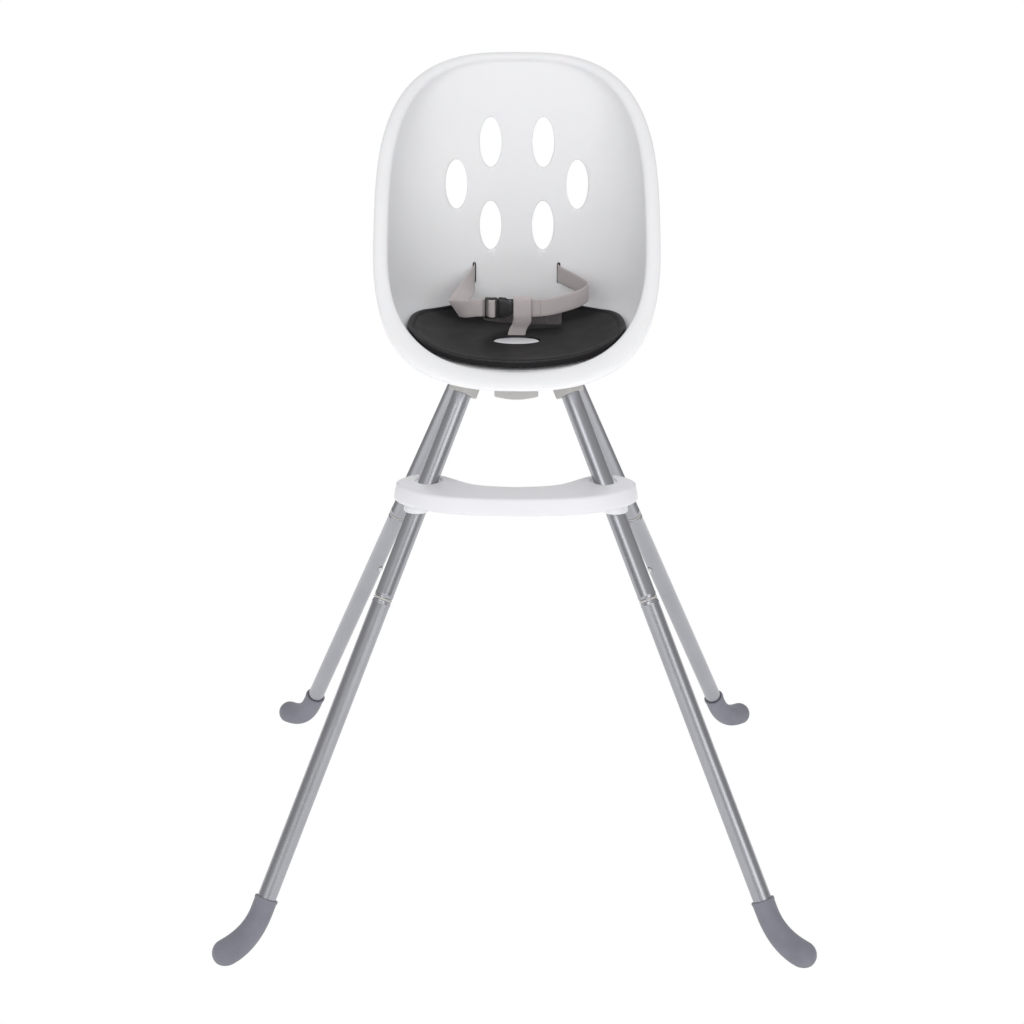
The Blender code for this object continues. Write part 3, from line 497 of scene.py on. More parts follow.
def tube_material():
    """Satin anodised aluminium with a fine grain along the tube."""
    colour = (0.375, 0.378, 0.405)
    mat = base_material("anodised_aluminium", colour, 0.30, metallic=1.0, Anisotropic=0.35)
    vary_colour(mat, colour, 0.03, 18.0)
    vary_roughness(mat, 0.24, 0.36, 260.0, (1.0, 1.0, 0.04))
    bump(mat, noise_node(mat, 900.0, 2.0, (1.0, 1.0, 0.02)), 0.10, 0.0001)
    return mat


def steel_material():
    colour = (0.60, 0.60, 0.60)
    mat = base_material("bright_steel", colour, 0.25, metallic=1.0)
    vary_colour(mat, colour, 0.04, 60.0)
    vary_roughness(mat, 0.18, 0.34, 320.0)
    bump(mat, noise_node(mat, 1200.0, 2.0), 0.06, 0.0001)
    return mat


def web_wave(mat, axis, pitch):
    """A sine along one axis of the strap's UV map, which is in metres."""
    tree = mat.node_tree
    where = add_node(tree, "TexCoord").outputs["UV"]
    split = add_node(tree, "SeparateXYZ", {"Vector": where})
    return math_node(tree, "SINE", math_node(tree, "MULTIPLY", split.outputs[axis], math.tau / pitch))


def webbing_material(name, colour):
    """Plain-woven polyester: small crossing ribs, with the colour painted lighter on the crowns as painted
    highlight and darker in the valleys as painted shade.
    """
    mat = base_material(name, colour, 0.82, Sheen_Weight=0.25, Sheen_Roughness=0.5)
    ribs = [web_wave(mat, axis, pitch) for axis, pitch in zip("XY", WEAVE_PITCH)]
    cross = math_node(mat.node_tree, "MULTIPLY", *ribs)
    height = add_node(mat.node_tree, "MapRange", {"Value": cross}, From_Min=-1.0).outputs["Result"]
    # Painted highlight and painted shade: the base colour follows the weave's height, lighter on the crowns
    # and darker in the valleys.
    to_shader(mat, ramp(mat, height, tint(colour, 0.80), tint(colour, 1.08), 0.1, 0.8), "Base Color")
    first = bump(mat, height, 0.45, 0.0003)
    bump(mat, noise_node(mat, 1500.0, 2.0), 0.20, 0.0002, first)
    return mat


def thread_material():
    colour = (0.34, 0.30, 0.30)
    mat = base_material("sewing_thread", colour, 0.7, Sheen_Weight=0.2)
    vary_colour(mat, colour, 0.08, 900.0)
    bump(mat, noise_node(mat, 2500.0, 2.0), 0.3, 0.0001)
    return mat


def floor_material():
    """Pale floor that glows, more so away from the chair, and lights it from below."""
    mat = base_material("studio_floor", (0.80, 0.80, 0.80), 0.9, Emission_Color=WHITE)
    tree = mat.node_tree
    length = add_node(tree, "VectorMath")
    length.operation = "LENGTH"
    tree.links.new(add_node(tree, "TexCoord").outputs["Object"], length.inputs[0])
    glow = add_node(tree, "MapRange", {"Value": length.outputs["Value"]}, From_Min=GLOW_START,
                    From_Max=FLOOR_RADIUS, To_Min=GLOW_NEAR, To_Max=GLOW_FAR)
    to_shader(mat, glow.outputs["Result"], "Emission Strength")
    return mat


def make_materials():
    return {
        "foam_white": foam_material(),
        "moulded_white": white_plastic(),
        "moulded_grey": grey_plastic(),
        "pad_charcoal": pad_material(),
        "aluminium_tube": tube_material(),
        "steel": steel_material(),
        "foot_grey": foot_material(),
        "buckle_black": black_plastic(),
        "webbing": webbing_material("webbing_weave", (0.56, 0.505, 0.505)),
        # A darker copy of the webbing: painted shade for the strap tail, which lies in shadow among the
        # straps.
        "webbing_tail_painted_shade": webbing_material("webbing_tail_painted_shade_weave", (0.15, 0.135, 0.14)),
        "thread": thread_material(),
    }


# ---------------------------------------------------------------- seat shell

def rim_point(x, up, depth):
    """From rim-plane coordinates (across, up the plane, behind the plane) to the chair's own."""
    y = RIM_LIP_Y + up * math.cos(RIM_LEAN) + depth * math.sin(RIM_LEAN)
    z = RIM_LIP_Z + up * math.sin(RIM_LEAN) - depth * math.cos(RIM_LEAN)
    return Vector((x, y, z))


def skin_side(skin, above):
    """Power and reach of the upper or the lower part of a skin's outline."""
    return (RIM_UP_POWER, skin["up"]) if above else (RIM_DOWN_POWER, skin["down"])


def rim_outline(skin, angle):
    power, reach = skin_side(skin, math.sin(angle) > 0)
    x = skin["half"] * signed_power(math.cos(angle), 2 / power)
    up = RIM_MIDDLE + reach * signed_power(math.sin(angle), 2 / power)
    return x, up


def half_width(skin, up):
    power, reach = skin_side(skin, up > RIM_MIDDLE)
    share = min(abs(up - RIM_MIDDLE) / reach, 1.0)
    return skin["half"] * (1 - share ** power) ** (1 / power)


def centre_depth(skin, up):
    """Depth of the seat floor and the back along the middle of the bowl, softly joined."""
    floor = (up - (RIM_MIDDLE - skin["down"])) * skin["floor"]
    back = (RIM_MIDDLE + skin["up"] - up) * skin["back"]
    blend = max(CORNER_ROUND - abs(floor - back), 0.0) / CORNER_ROUND
    return max(min(floor, back) - blend * blend * CORNER_ROUND / 4, 0.0)


def rim_dip(up):
    """The rim's side view is a shallow S: behind its plane at the arms, in front of it at the head."""
    low = RIM_MIDDLE - OUTER["down"]
    high = RIM_MIDDLE + OUTER["up"]
    share = min(max((up - low) / (high - low), 0.0), 1.0)
    return RIM_WAVE * math.sin(math.tau * share)


def bowl_point(skin, x, up):
    """A point of a skin, from its place in the rim plane."""
    width = half_width(skin, up)
    share = min(abs(x) / width, 1.0) if width > 1e-6 else 1.0
    fullness = max(1 - share ** WALL_POWER, 0.0) ** (1 / WALL_POWER)
    dip = rim_dip(up)
    depth = dip + (centre_depth(skin, up) - dip) * fullness
    return rim_point(x, up, depth)


def skin_ring(skin, share, steps):
    ring = []
    for i in range(steps):
        x, up = rim_outline(skin, math.tau * (i + 0.5) / steps)
        ring.append(bowl_point(skin, x * share, RIM_MIDDLE + (up - RIM_MIDDLE) * share))
    return ring


def rim_ring(turn, steps):
    """A ring of the rounded rim, from its inner edge (turn 0) to its outer edge (turn 180)."""
    mix = 0.5 - 0.5 * math.cos(math.radians(turn))
    ring = []
    for i in range(steps):
        angle = math.tau * (i + 0.5) / steps
        x0, up0 = rim_outline(INNER, angle)
        x1, up1 = rim_outline(OUTER, angle)
        up = up0 + (up1 - up0) * mix
        depth = rim_dip(up) - RIM_BULGE * math.sin(math.radians(turn)) ** 0.7
        ring.append(rim_point(x0 + (x1 - x0) * mix, up, depth))
    return ring


def shell_rings(steps=176, spans=34):
    """Rings crowd towards the rim, where the walls are steepest."""
    shares = [1 - (1 - k / spans) ** 2.1 for k in range(1, spans)]
    shares = [0.012] + shares + [1.0]
    inner = [skin_ring(INNER, share, steps) for share in shares]
    rim = [rim_ring(turn, steps) for turn in (10, 22, 40, 60, 80, 100, 120, 140, 158, 170)]
    outer = [skin_ring(OUTER, share, steps) for share in reversed(shares)]
    return inner + rim + outer


def back_y(skin, x, z):
    """How far back a skin is at a place seen from the front, above the seat."""
    low, high = 0.17, RIM_MIDDLE + skin["up"]
    for _ in range(40):
        middle = (low + high) / 2
        if bowl_point(skin, x, middle).z < z:
            low = middle
        else:
            high = middle
    return bowl_point(skin, x, (low + high) / 2).y


def through_cutter(name, outline, edge):
    """A cutter through the back with rounded edges: outline has points (x, z) with outward normals."""
    turns = [math.radians(angle) for angle in (25, 42, 62, 90)]
    front = [(edge * (math.cos(turns[0]) - math.cos(turn)), edge * (1 - math.sin(turn))) for turn in turns]
    above = (-0.0035, front[0][1] + 0.0035 / math.tan(turns[0]))
    rings = []
    for skin, sign in ((INNER, 1), (OUTER, -1)):
        layers = [above] + front if sign > 0 else list(reversed([above] + front))
        for depth, grow in layers:
            ring = []
            for (x, z), (nx, nz) in outline:
                at_x, at_z = x + nx * grow, z + nz * grow
                ring.append(Vector((at_x, back_y(skin, at_x, at_z) + sign * depth, at_z)))
            rings.append(ring)
    return object_of(name, loft(rings), None)


def vent_outline(x, z, steps=48):
    half_x, half_z = HOLE_SIZE
    outline = []
    for i in range(steps):
        angle = math.tau * i / steps
        normal = Vector((math.cos(angle) / half_x, math.sin(angle) / half_z)).normalized()
        outline.append(((x + half_x * math.cos(angle), z + half_z * math.sin(angle)), tuple(normal)))
    return outline


def slot_outline(x, z, steps=32):
    """A narrow upright slot with round ends."""
    half_x, half_z = STRAP_SLOT_WIDE / 2, STRAP_SLOT_HIGH / 2
    outline = []
    for i in range(steps):
        angle = math.tau * (i + 0.5) / steps
        shift = math.copysign(half_z - half_x, math.sin(angle))
        point = (x + half_x * math.cos(angle), z + half_x * math.sin(angle) + shift)
        outline.append((point, (math.cos(angle), math.sin(angle))))
    return outline


def crotch_cutter(name, grow, low, high):
    outline = squircle(0.0118 + grow, 0.0018 + grow, 6, 40)
    rings = [[Vector((x, CROTCH_Y + y, z)) for x, y in outline] for z in (low, high)]
    return object_of(name, loft(rings), None)


def screw_places():
    return [(x, y) for y in (-SCREW_SPREAD, SCREW_SPREAD) for x in (-SCREW_SPREAD, SCREW_SPREAD)]


def screw_cutters(low, high):
    cutters = []
    for x, y in screw_places():
        hole = rod([(SCREW_RADIUS + GAP, low), (SCREW_RADIUS + GAP, high)], 24)
        bmesh.ops.translate(hole, vec=(x, y, 0), verts=hole.verts)
        cutters.append(object_of("screw_cut", hole, None))
    return cutters


def build_shell(mats):
    """The foam bucket with its rolled rim, six vents, two strap slots and the seat for the hub."""
    shell = object_of("foam_seat_shell", loft(shell_rings()), mats["foam_white"], sharp=24.0)
    cutters = [through_cutter("vent_cut", vent_outline(x, z), 0.0020) for x, z in HOLE_CENTRES]
    for sign in (-1, 1):
        outline = slot_outline(sign * STRAP_SLOT_X, STRAP_SLOT_Z)
        cutters.append(through_cutter("slot_cut", outline, 0.0008))
    recess = rod([(RECESS_RADIUS, 0.540), (RECESS_RADIUS, HUB_TOP + GAP)], 96)
    pocket = rod([(0.046, POCKET_FLOOR), (0.046, POCKET_FLOOR + 0.03)], 72)
    cutters += [object_of("recess_cut", recess, None), object_of("pocket_cut", pocket, None)]
    cutters.append(crotch_cutter("crotch_cut", 0.0, 0.55, 0.62))
    cutters += screw_cutters(0.55, 0.61)
    carve(shell, cutters, sharp=24.0)
    place(shell, "frame", "foam_white", "seat_shell")


# ---------------------------------------------------------------- seat liner

def liner_offset(angle):
    above = math.sin(angle) > 0
    reach, power = (LINER_UP, LINER_UP_POWER) if above else (LINER_DOWN, LINER_DOWN_POWER)
    x = LINER_HALF * signed_power(math.cos(angle), 2 / power)
    return Vector((x, reach * signed_power(math.sin(angle), 2 / power)))


def liner_point(offset, lift):
    """A point over the inner skin, raised from it along its normal."""
    x, up = offset.x, LINER_MIDDLE + offset.y
    step = 0.005  # wide enough to smooth the direction where the walls turn up
    here = bowl_point(INNER, x, up)
    across = bowl_point(INNER, x + step, up) - bowl_point(INNER, x - step, up)
    along = bowl_point(INNER, x, up + step) - bowl_point(INNER, x, up - step)
    return here + across.cross(along).normalized() * lift


def front_share(angle):
    """1 along the liner's front edge, fading to 0 at its sides and back."""
    return max(-math.sin(angle), 0.0) ** 0.5


def liner_ring(inset, lift, angles):
    """A ring at a real distance inside the outline; lift may depend on the angle."""
    ring = []
    for angle in angles:
        edge = liner_offset(angle)
        offset = edge * (1 - inset / edge.length)
        ring.append(liner_point(offset, lift(angle)))
    return ring


def build_liner(mats):
    """A moulded pad with a rolled bead along its edge and a second ridge inside it at the front."""
    steps = 150
    angles = [math.tau * (i + 0.5) / steps for i in range(steps)]
    low, top = LINER_LOW, LINER_LOW + LINER_THICK
    bead, ridge = LINER_BEAD, 0.0009
    profile = [  # distance inside the outline, height above the top, how much of the ridge counts
        (0.0000, -0.0018, 0.0), (0.0005, -0.0006, 0.0), (0.0015, 0.6 * bead, 0.0), (0.0030, bead, 0.0),
        (0.0045, 0.8 * bead, 0.0), (0.0058, 0.1 * bead, -0.3), (0.0070, -0.2 * bead, -0.6),
        (0.0085, 0.0, 0.4), (0.0105, 0.0, 1.0), (0.0128, 0.0, 0.7), (0.0155, 0.0, 0.1), (0.0200, 0.0, 0.0),
    ]
    inner_shares = [0.03, 0.10, 0.21, 0.33, 0.45, 0.57, 0.68, 0.78]
    rings = [[liner_point(liner_offset(a) * share, top) for a in angles] for share in inner_shares]
    for inset, rise, extra in reversed(profile):
        rings.append(liner_ring(inset, lambda a: top + rise + extra * ridge * front_share(a), angles))
    rings.append(liner_ring(0.0008, lambda a: low + 0.0006, angles))
    rings.append(liner_ring(0.0030, lambda a: low, angles))
    rings += [[liner_point(liner_offset(a) * share, low) for a in angles]
              for share in reversed(inner_shares + [0.90])]
    liner = object_of("seat_pad", loft(rings), mats["pad_charcoal"])
    half_x, half_y, y = LINER_OVAL
    window = rod([(1.06, 0.57), (1.0, 0.6005), (1.0, 0.6025), (1.06, 0.6045), (1.25, 0.6100)], 64)
    bmesh.ops.scale(window, vec=(half_x, half_y, 1.0), verts=window.verts)
    bmesh.ops.translate(window, vec=(0.0, y, 0.0), verts=window.verts)
    cutters = [object_of("oval_cut", window, None), crotch_cutter("liner_slit", 0.0, 0.57, 0.64)]
    carve(liner, cutters, sharp=50.0)
    place(liner, "frame", "pad_charcoal", "seat_liner")


# ---------------------------------------------------------------- legs

def leg_radius(z):
    return LEG_FOOT_RADIUS - math.tan(LEG_TILT) * z


def leg_matrix(turn, z):
    """A frame on a leg's centre line at height z: Z up the leg, X outward."""
    return (Matrix.Rotation(math.radians(turn), 4, "Z")
            @ Matrix.Translation((leg_radius(z), 0.0, z))
            @ Matrix.Rotation(-LEG_TILT, 4, "Y"))


def along_leg(z):
    return (z - JOINT_Z) / math.cos(LEG_TILT)


def leg_centre(corner, z):
    angle = math.radians(LEG_TURNS[corner])
    return Vector((leg_radius(z) * math.cos(angle), leg_radius(z) * math.sin(angle), z))


def tube(outer, inner, low, high, bead_low=False, bead_high=False, steps=64):
    """A tube with eased ends, and a rolled bead near an end where it meets the joint."""
    profile = [(inner, low), (outer - TUBE_EASE, low), (outer, low + TUBE_EASE)]
    if bead_low:
        profile += [(outer + rise, low + inset) for inset, rise in TUBE_BEAD]
    if bead_high:
        profile += [(outer + rise, high - inset) for inset, rise in reversed(TUBE_BEAD)]
    profile += [(outer, high - TUBE_EASE), (outer - TUBE_EASE, high), (inner, high)]
    return loft([circle(radius, z, steps) for radius, z in profile], loop=True)


def button_hole(radius, matrix):
    bm = rod([(radius, -0.020), (radius, 0.0)], 32)
    turn = Matrix.Translation((0.0, 0.0, -BUTTON_DROP)) @ Matrix.Rotation(math.radians(90), 4, "Y")
    bmesh.ops.transform(bm, matrix=turn, verts=bm.verts)
    return object_of("button_hole", bm, None, matrix)


def foot_radius(t):
    """The boot swells from its neck to its toe."""
    return FOOT_RADIUS + (TOE_RADIUS - FOOT_RADIUS) * (3 * t * t - 2 * t ** 3)


def foot_rings(steps=48):
    """Rings of a foot in the leg's vertical plane (x outward from the hub's axis)."""
    top = Vector((leg_radius(FOOT_TOP_Z), 0.0, FOOT_TOP_Z))
    down = Vector((math.sin(LEG_TILT), 0.0, -math.cos(LEG_TILT)))
    toe = Vector((TOE_REACH, 0.0, TOE_HEIGHT))
    start = top + down * FOOT_STRAIGHT
    bend = top + down * FOOT_BEND
    lip = FOOT_RADIUS + 0.0006
    rings = [(top, down, FOOT_RADIUS - 0.0006), (top + down * 0.0003, down, lip - 0.0002),
             (top + down * 0.0010, down, lip), (top + down * 0.0028, down, lip),
             (top + down * 0.0036, down, FOOT_RADIUS), (start, down, FOOT_RADIUS)]
    spans = 22
    for i in range(1, spans + 1):
        t = i / spans
        centre = (1 - t) ** 2 * start + 2 * t * (1 - t) * bend + t * t * toe
        tangent = (2 * (1 - t) * (bend - start) + 2 * t * (toe - bend)).normalized()
        rings.append((centre, tangent, foot_radius(t)))
    for k in range(1, 10):
        angle = math.radians(9.4 * k)
        rings.append((toe + tangent * TOE_RADIUS * math.sin(angle), tangent, TOE_RADIUS * math.cos(angle)))
    return [foot_ring(*ring, steps) for ring in rings]


def foot_ring(centre, tangent, radius, steps):
    side = Vector((0.0, 1.0, 0.0))
    up = side.cross(tangent).normalized()
    ring = []
    for i in range(steps):
        angle = math.tau * i / steps
        point = centre + side * radius * math.cos(angle) + up * radius * math.sin(angle)
        point.z = flat_sole(point.z)
        ring.append(point)
    return ring


def flat_sole(z):
    """Press whatever would pass below the floor onto it, with a small soft edge."""
    soft = 0.0012
    if z > soft:
        return z
    if z < -soft:
        return 0.0
    return (z + soft) ** 2 / (4 * soft)


def build_foot_mesh(mats):
    bm = loft(foot_rings())
    bmesh.ops.transform(bm, matrix=leg_matrix(0.0, JOINT_Z).inverted(), verts=bm.verts)
    foot = object_of("foot_blank", bm, mats["foot_grey"])
    low = along_leg(TUBE_FOOT_Z) - GAP
    bore = rod([(TUBE_RADIUS + GAP, low), (TUBE_RADIUS + GAP, along_leg(0.075))], 64)
    carve(foot, [object_of("foot_bore", bore, None)])
    mesh = foot.data
    bpy.data.objects.remove(foot, do_unlink=True)
    return mesh


def button_mesh(mats):
    """A domed pin that faces the hub's axis."""
    inner = -(TUBE_BORE - GAP)
    outer = -(TUBE_RADIUS + BUTTON_PROUD)
    profile = [(BUTTON_RADIUS - 0.0003, inner), (BUTTON_RADIUS, inner - 0.0003)]
    for k in range(0, 9):
        angle = math.radians(10 * k)
        profile.append((BUTTON_RADIUS * math.cos(angle), outer + 0.0016 * (1 - math.sin(angle))))
    bm = rod(profile, 32)
    bmesh.ops.rotate(bm, verts=bm.verts, matrix=Matrix.Rotation(math.radians(90), 3, "Y"))
    return bm


def build_legs(mats):
    """Four splayed legs: upper tube, joint ring, spigot, extension, snap button and rubber foot."""
    metal, steel = mats["aluminium_tube"], mats["steel"]
    foot = build_foot_mesh(mats)
    joint_low = 2 * GAP + RING_HEIGHT
    for corner, turn in LEG_TURNS.items():
        joint = leg_matrix(turn, JOINT_Z)
        extension = "leg_extension_" + corner
        upper = tube(TUBE_RADIUS, TUBE_BORE, joint_low, along_leg(LEG_TOP_Z), bead_low=True)
        upper = object_of("upper_tube_" + corner, upper, metal, joint)
        place(upper, "frame", "aluminium_tube", "upper_leg_" + corner)
        ring = tube(TUBE_RADIUS + 0.0002, SPIGOT_RADIUS + GAP, GAP, GAP + RING_HEIGHT)
        ring = object_of("tube_ring_" + corner, ring, mats["moulded_grey"], joint)
        place(ring, "frame", "moulded_grey", "joint_ring_" + corner)
        lower = tube(TUBE_RADIUS, TUBE_BORE, along_leg(TUBE_FOOT_Z), 0.0, bead_high=True)
        lower = object_of("lower_tube_" + corner, lower, metal, joint)
        carve(lower, [button_hole(BUTTON_RADIUS + GAP, joint)])
        place(lower, extension, "aluminium_tube", "lower_leg_" + corner)
        spigot = tube(SPIGOT_RADIUS, SPIGOT_BORE, -SPIGOT_DOWN, SPIGOT_UP)
        spigot = object_of("inner_sleeve_" + corner, spigot, steel, joint)
        carve(spigot, [button_hole(BUTTON_RADIUS + 2 * GAP, joint)])
        place(spigot, "frame", "steel", "spigot_" + corner)
        boot = bpy.data.objects.new("boot_" + corner, foot.copy())
        boot.data.transform(joint)
        bpy.context.scene.collection.objects.link(boot)
        place(boot, extension, "foot_grey", "foot_" + corner)
        at_button = joint @ Matrix.Translation((0.0, 0.0, -BUTTON_DROP))
        button = object_of("lock_button_" + corner, button_mesh(mats), steel, at_button)
        place(button, "button_" + corner, "steel", "snap_button_" + corner)


# ---------------------------------------------------------------- hub

def across_matrix(where):
    """Local Z laid along +X at a place."""
    return Matrix.Translation(where) @ Matrix.Rotation(math.radians(90), 4, "Y")


def boss(corner):
    """A rounded block over a leg's top, a little wider at its flange under the seat."""
    low, high = along_leg(SOCKET_BOTTOM_Z) - 0.001, along_leg(HUB_TOP) + 0.004
    layers = [(low, 0.0120), (low + 0.0004, 0.0126), (low + 0.0014, 0.0130), (low + 0.0140, 0.0131),
              (low + 0.0150, 0.0138), (high, 0.0140)]
    rings = [[Vector((x, y, z)) for x, y in squircle(half, half, 5, 56)] for z, half in layers]
    return object_of("boss", loft(rings), None, leg_matrix(LEG_TURNS[corner], JOINT_Z))


def build_hub(mats):
    """One moulding: a round body with a sloping rounded block over each leg's top."""
    body = rod([(HUB_RADIUS - 0.005, HUB_BOTTOM), (HUB_RADIUS - 0.0025, HUB_BOTTOM + 0.0007),
                (HUB_RADIUS - 0.0007, HUB_BOTTOM + 0.0025), (HUB_RADIUS, HUB_BOTTOM + 0.005),
                (HUB_RADIUS, HUB_TOP)], 96)
    hub = object_of("hub_moulding", body, mats["moulded_grey"])
    carve(hub, [boss(corner) for corner in LEG_TURNS], "UNION")
    bores = []
    radius = TUBE_RADIUS + GAP
    for turn in LEG_TURNS.values():
        bore = rod([(radius, along_leg(0.53)), (radius, along_leg(LEG_TOP_Z) + GAP)], 64)
        bores.append(object_of("bore", bore, None, leg_matrix(turn, JOINT_Z)))
    trim = object_of("trim", slab((0.30, 0.30, 0.04), (0.0, 0.0, HUB_TOP + 0.02)), None)
    bay = object_of("bay", slab((0.034, 0.014, 0.05), (0.0, CROTCH_Y, 0.585)), None)
    mouth = object_of("mouth", slab((0.0496, 0.056, 0.030), (0.0, -0.072, 0.5583)), None)
    pin = rod([(LEVER_PIN_RADIUS + GAP, -0.031), (LEVER_PIN_RADIUS + GAP, 0.031)], 24)
    pin = object_of("pin_bore", pin, None, across_matrix(LEVER_PIVOT))
    carve(hub, bores + [trim, bay, mouth, pin] + screw_cutters(HUB_BOTTOM + 0.003, 0.60))
    place(hub, "frame", "moulded_grey", "hub")


def build_cap(mats):
    """The white cap in the seat floor, with the oval island that shows through the liner."""
    low = POCKET_FLOOR + GAP
    disc = rod([(0.0445, low), (0.0450, low + 0.0005), (0.0450, low + CAP_THICK - 0.0005),
                (0.0445, low + CAP_THICK)], 96)
    cap = object_of("oval_cap", disc, mats["moulded_white"])
    half_x, half_y, y = LINER_OVAL
    island = rod([(1.0, low + 0.001), (1.0, CAP_TOP - 0.0012), (0.992, CAP_TOP - 0.0005),
                  (0.975, CAP_TOP - 0.0001), (0.955, CAP_TOP)], 96)
    bmesh.ops.scale(island, vec=(half_x - 3 * GAP, half_y - 3 * GAP, 1.0), verts=island.verts)
    bmesh.ops.translate(island, vec=(0.0, y, 0.0), verts=island.verts)
    carve(cap, [object_of("island", island, None)], "UNION")
    carve(cap, screw_cutters(0.57, 0.598) + [crotch_cutter("cap_slit", 0.0, 0.56, 0.61)])
    place(cap, "frame", "moulded_white", "seat_cap")


def build_lever(mats):
    """A finger paddle with a bellied grip under the hub's front."""
    half = 0.0235
    side = [(0.0045, 0.0032), (0.0045, -0.0042), (-0.0090, -0.0053), (-0.0180, -0.0063), (-0.0262, -0.0098),
            (-0.0325, -0.0124), (-0.0352, -0.0112), (-0.0355, 0.0000), (-0.0340, 0.0012), (-0.0260, 0.0033),
            (-0.0100, 0.0034)]
    rings = []
    count = 24
    for k in range(count + 1):
        x = -half + 2 * half * k / count
        belly = 1 - 0.30 * (x / half) ** 2
        rings.append([Vector((x, y, z * belly if z < -0.008 else z)) for y, z in side])
    lever = object_of("finger_lever", loft(rings), mats["moulded_grey"], Matrix.Translation(LEVER_PIVOT))
    mod = lever.modifiers.new("edges", "BEVEL")
    mod.width = 0.0008
    mod.segments = 3
    mod.limit_method = "ANGLE"
    mod.angle_limit = math.radians(40)
    bake(lever, 50.0)
    bore = rod([(LEVER_PIN_RADIUS + GAP, -0.03), (LEVER_PIN_RADIUS + GAP, 0.03)], 24)
    carve(lever, [object_of("lever_bore", bore, None, across_matrix(LEVER_PIVOT))], sharp=50.0)
    place(lever, "lever", "moulded_grey", "release_lever")


# ---------------------------------------------------------------- footrest

def inset_point(outline, index, inset):
    count = len(outline)
    tangent = (outline[(index + 1) % count] - outline[index - 1]).normalized()
    inward = Vector((-tangent.y, tangent.x, 0.0))
    return outline[index] + inward * inset


def rounding(radius, height_at_zero, rising, steps=5):
    """(inset, height) layers of a rounded edge, from the flat face out to the side or back in."""
    layers = []
    for k in range(steps + 1):
        angle = math.radians(90 * k / steps)
        inset, height = radius * (1 - math.sin(angle)), radius * (1 - math.cos(angle))
        layers.append((inset, height_at_zero + height if rising else height_at_zero - height))
    return layers if rising else list(reversed(layers))


def slot_behind_leg(corner, radius):
    """The space a front leg needs as the footrest is drawn off forwards: a slot open to the rear."""
    outward = leg_centre(corner, 0.0).normalized()
    sideways = Vector((-outward.y, outward.x, 0.0))
    steps = 64
    rings = []
    for z in (CLIP_BOTTOM - 0.01, FOOTREST_TOP + 0.01):
        ring = []
        for i in range(steps):
            angle = math.tau * (i + 0.5) / steps
            offset = outward * (radius / math.cos(LEG_TILT) * math.cos(angle))
            offset += sideways * radius * math.sin(angle)
            normal = outward * math.cos(LEG_TILT) * math.cos(angle) + sideways * math.sin(angle)
            draw = NOTCH_REACH if normal.y > 0 else 0.0
            ring.append(leg_centre(corner, z) + offset + Vector((0.0, draw, 0.0)))
        rings.append(ring)
    return object_of("leg_slot", loft(rings), None)


def leg_dish(corner):
    """A shallow dish in the step's top round its leg."""
    centre = leg_centre(corner, FOOTREST_TOP)
    rings = [circle(0.0138, FOOTREST_TOP - 0.0012, 48, centre.x, centre.y),
             circle(0.0150, FOOTREST_TOP, 48, centre.x, centre.y),
             circle(0.0170, FOOTREST_TOP + 0.002, 48, centre.x, centre.y)]
    return object_of("leg_dish", loft(rings), None)


def build_footrest(mats):
    """A bowed step with eased edges that snaps onto the front legs from the front."""
    half = smooth_curve([(x, y, 0.0) for x, y in FOOTREST_EDGE], 14)
    outline = half + [Vector((-p.x, p.y, 0.0)) for p in reversed(half[1:-1])]
    layers = rounding(0.0050, FOOTREST_BOTTOM, True) + rounding(0.0030, FOOTREST_TOP, False)
    rise = FOOTREST_TOP - FOOTREST_BOTTOM
    rings = []
    for inset, height in layers:
        ring = []
        for i, point in enumerate(outline):
            end = min(max(abs(point.x) / 0.04 - 2.2, 0.0), 1.0)
            flare = END_FLARE * (height - FOOTREST_BOTTOM) / rise * end * end * (3 - 2 * end)
            ring.append(inset_point(outline, i, inset + flare) + Vector((0, 0, height)))
        rings.append(ring)
    step = object_of("foot_step", loft(rings), mats["moulded_white"])
    carve(step, [footrest_nub(sign) for sign in (-1, 1)], "UNION")
    cutters = []
    for corner in ("fl", "fr"):
        cutters += [slot_behind_leg(corner, TUBE_RADIUS + GAP), leg_dish(corner)]
    carve(step, cutters)
    place(step, "step", "moulded_white", "footrest")
    for side, corner in (("left", "fl"), ("right", "fr")):
        build_clip(side, corner, mats)


def footrest_nub(sign):
    """A small round pad under an end of the step."""
    low = FOOTREST_BOTTOM - 0.0022
    nub = rod([(0.0016, low), (0.0025, low + 0.0003), (0.0030, low + 0.0011), (0.0031, low + 0.006)], 32)
    bmesh.ops.translate(nub, vec=(sign * FOOTREST_NUB[0], FOOTREST_NUB[1], 0.0), verts=nub.verts)
    return object_of("nub", nub, None)


def build_clip(side, corner, mats):
    """A sleeve under the step that grips the leg, with a web that runs in along the step's underside."""
    sign = -1 if side == "left" else 1
    steps = 64
    top = FOOTREST_BOTTOM - GAP
    layers = [(0.0, 0.0136, 0.0), (0.0006, 0.0146, 0.0), (0.0018, 0.0152, 0.001), (0.0045, 0.0158, 0.003),
              (0.0070, 0.0162, 0.006), (top - CLIP_BOTTOM, 0.0166, 0.010)]
    rings = []
    for height, radius, web in layers:
        centre = leg_centre(corner, CLIP_BOTTOM + height)
        ring = []
        for i in range(steps):
            angle = math.tau * i / steps
            inward = max(-sign * math.cos(angle), 0.0)
            x = centre.x + radius * math.cos(angle) - sign * web * inward ** 3
            y = centre.y + radius * math.sin(angle) - web * 0.5 * inward ** 3
            ring.append(Vector((x, y, CLIP_BOTTOM + height)))
        rings.append(ring)
    clip = object_of("leg_clip_" + side, loft(rings), mats["moulded_white"])
    carve(clip, [slot_behind_leg(corner, TUBE_RADIUS + GAP)])
    place(clip, "step", "moulded_white", "footrest_clip_" + side)


# ---------------------------------------------------------------- harness

def facing(points, wide):
    """The same width direction at every point of a strap."""
    return [(point, wide) for point in points]


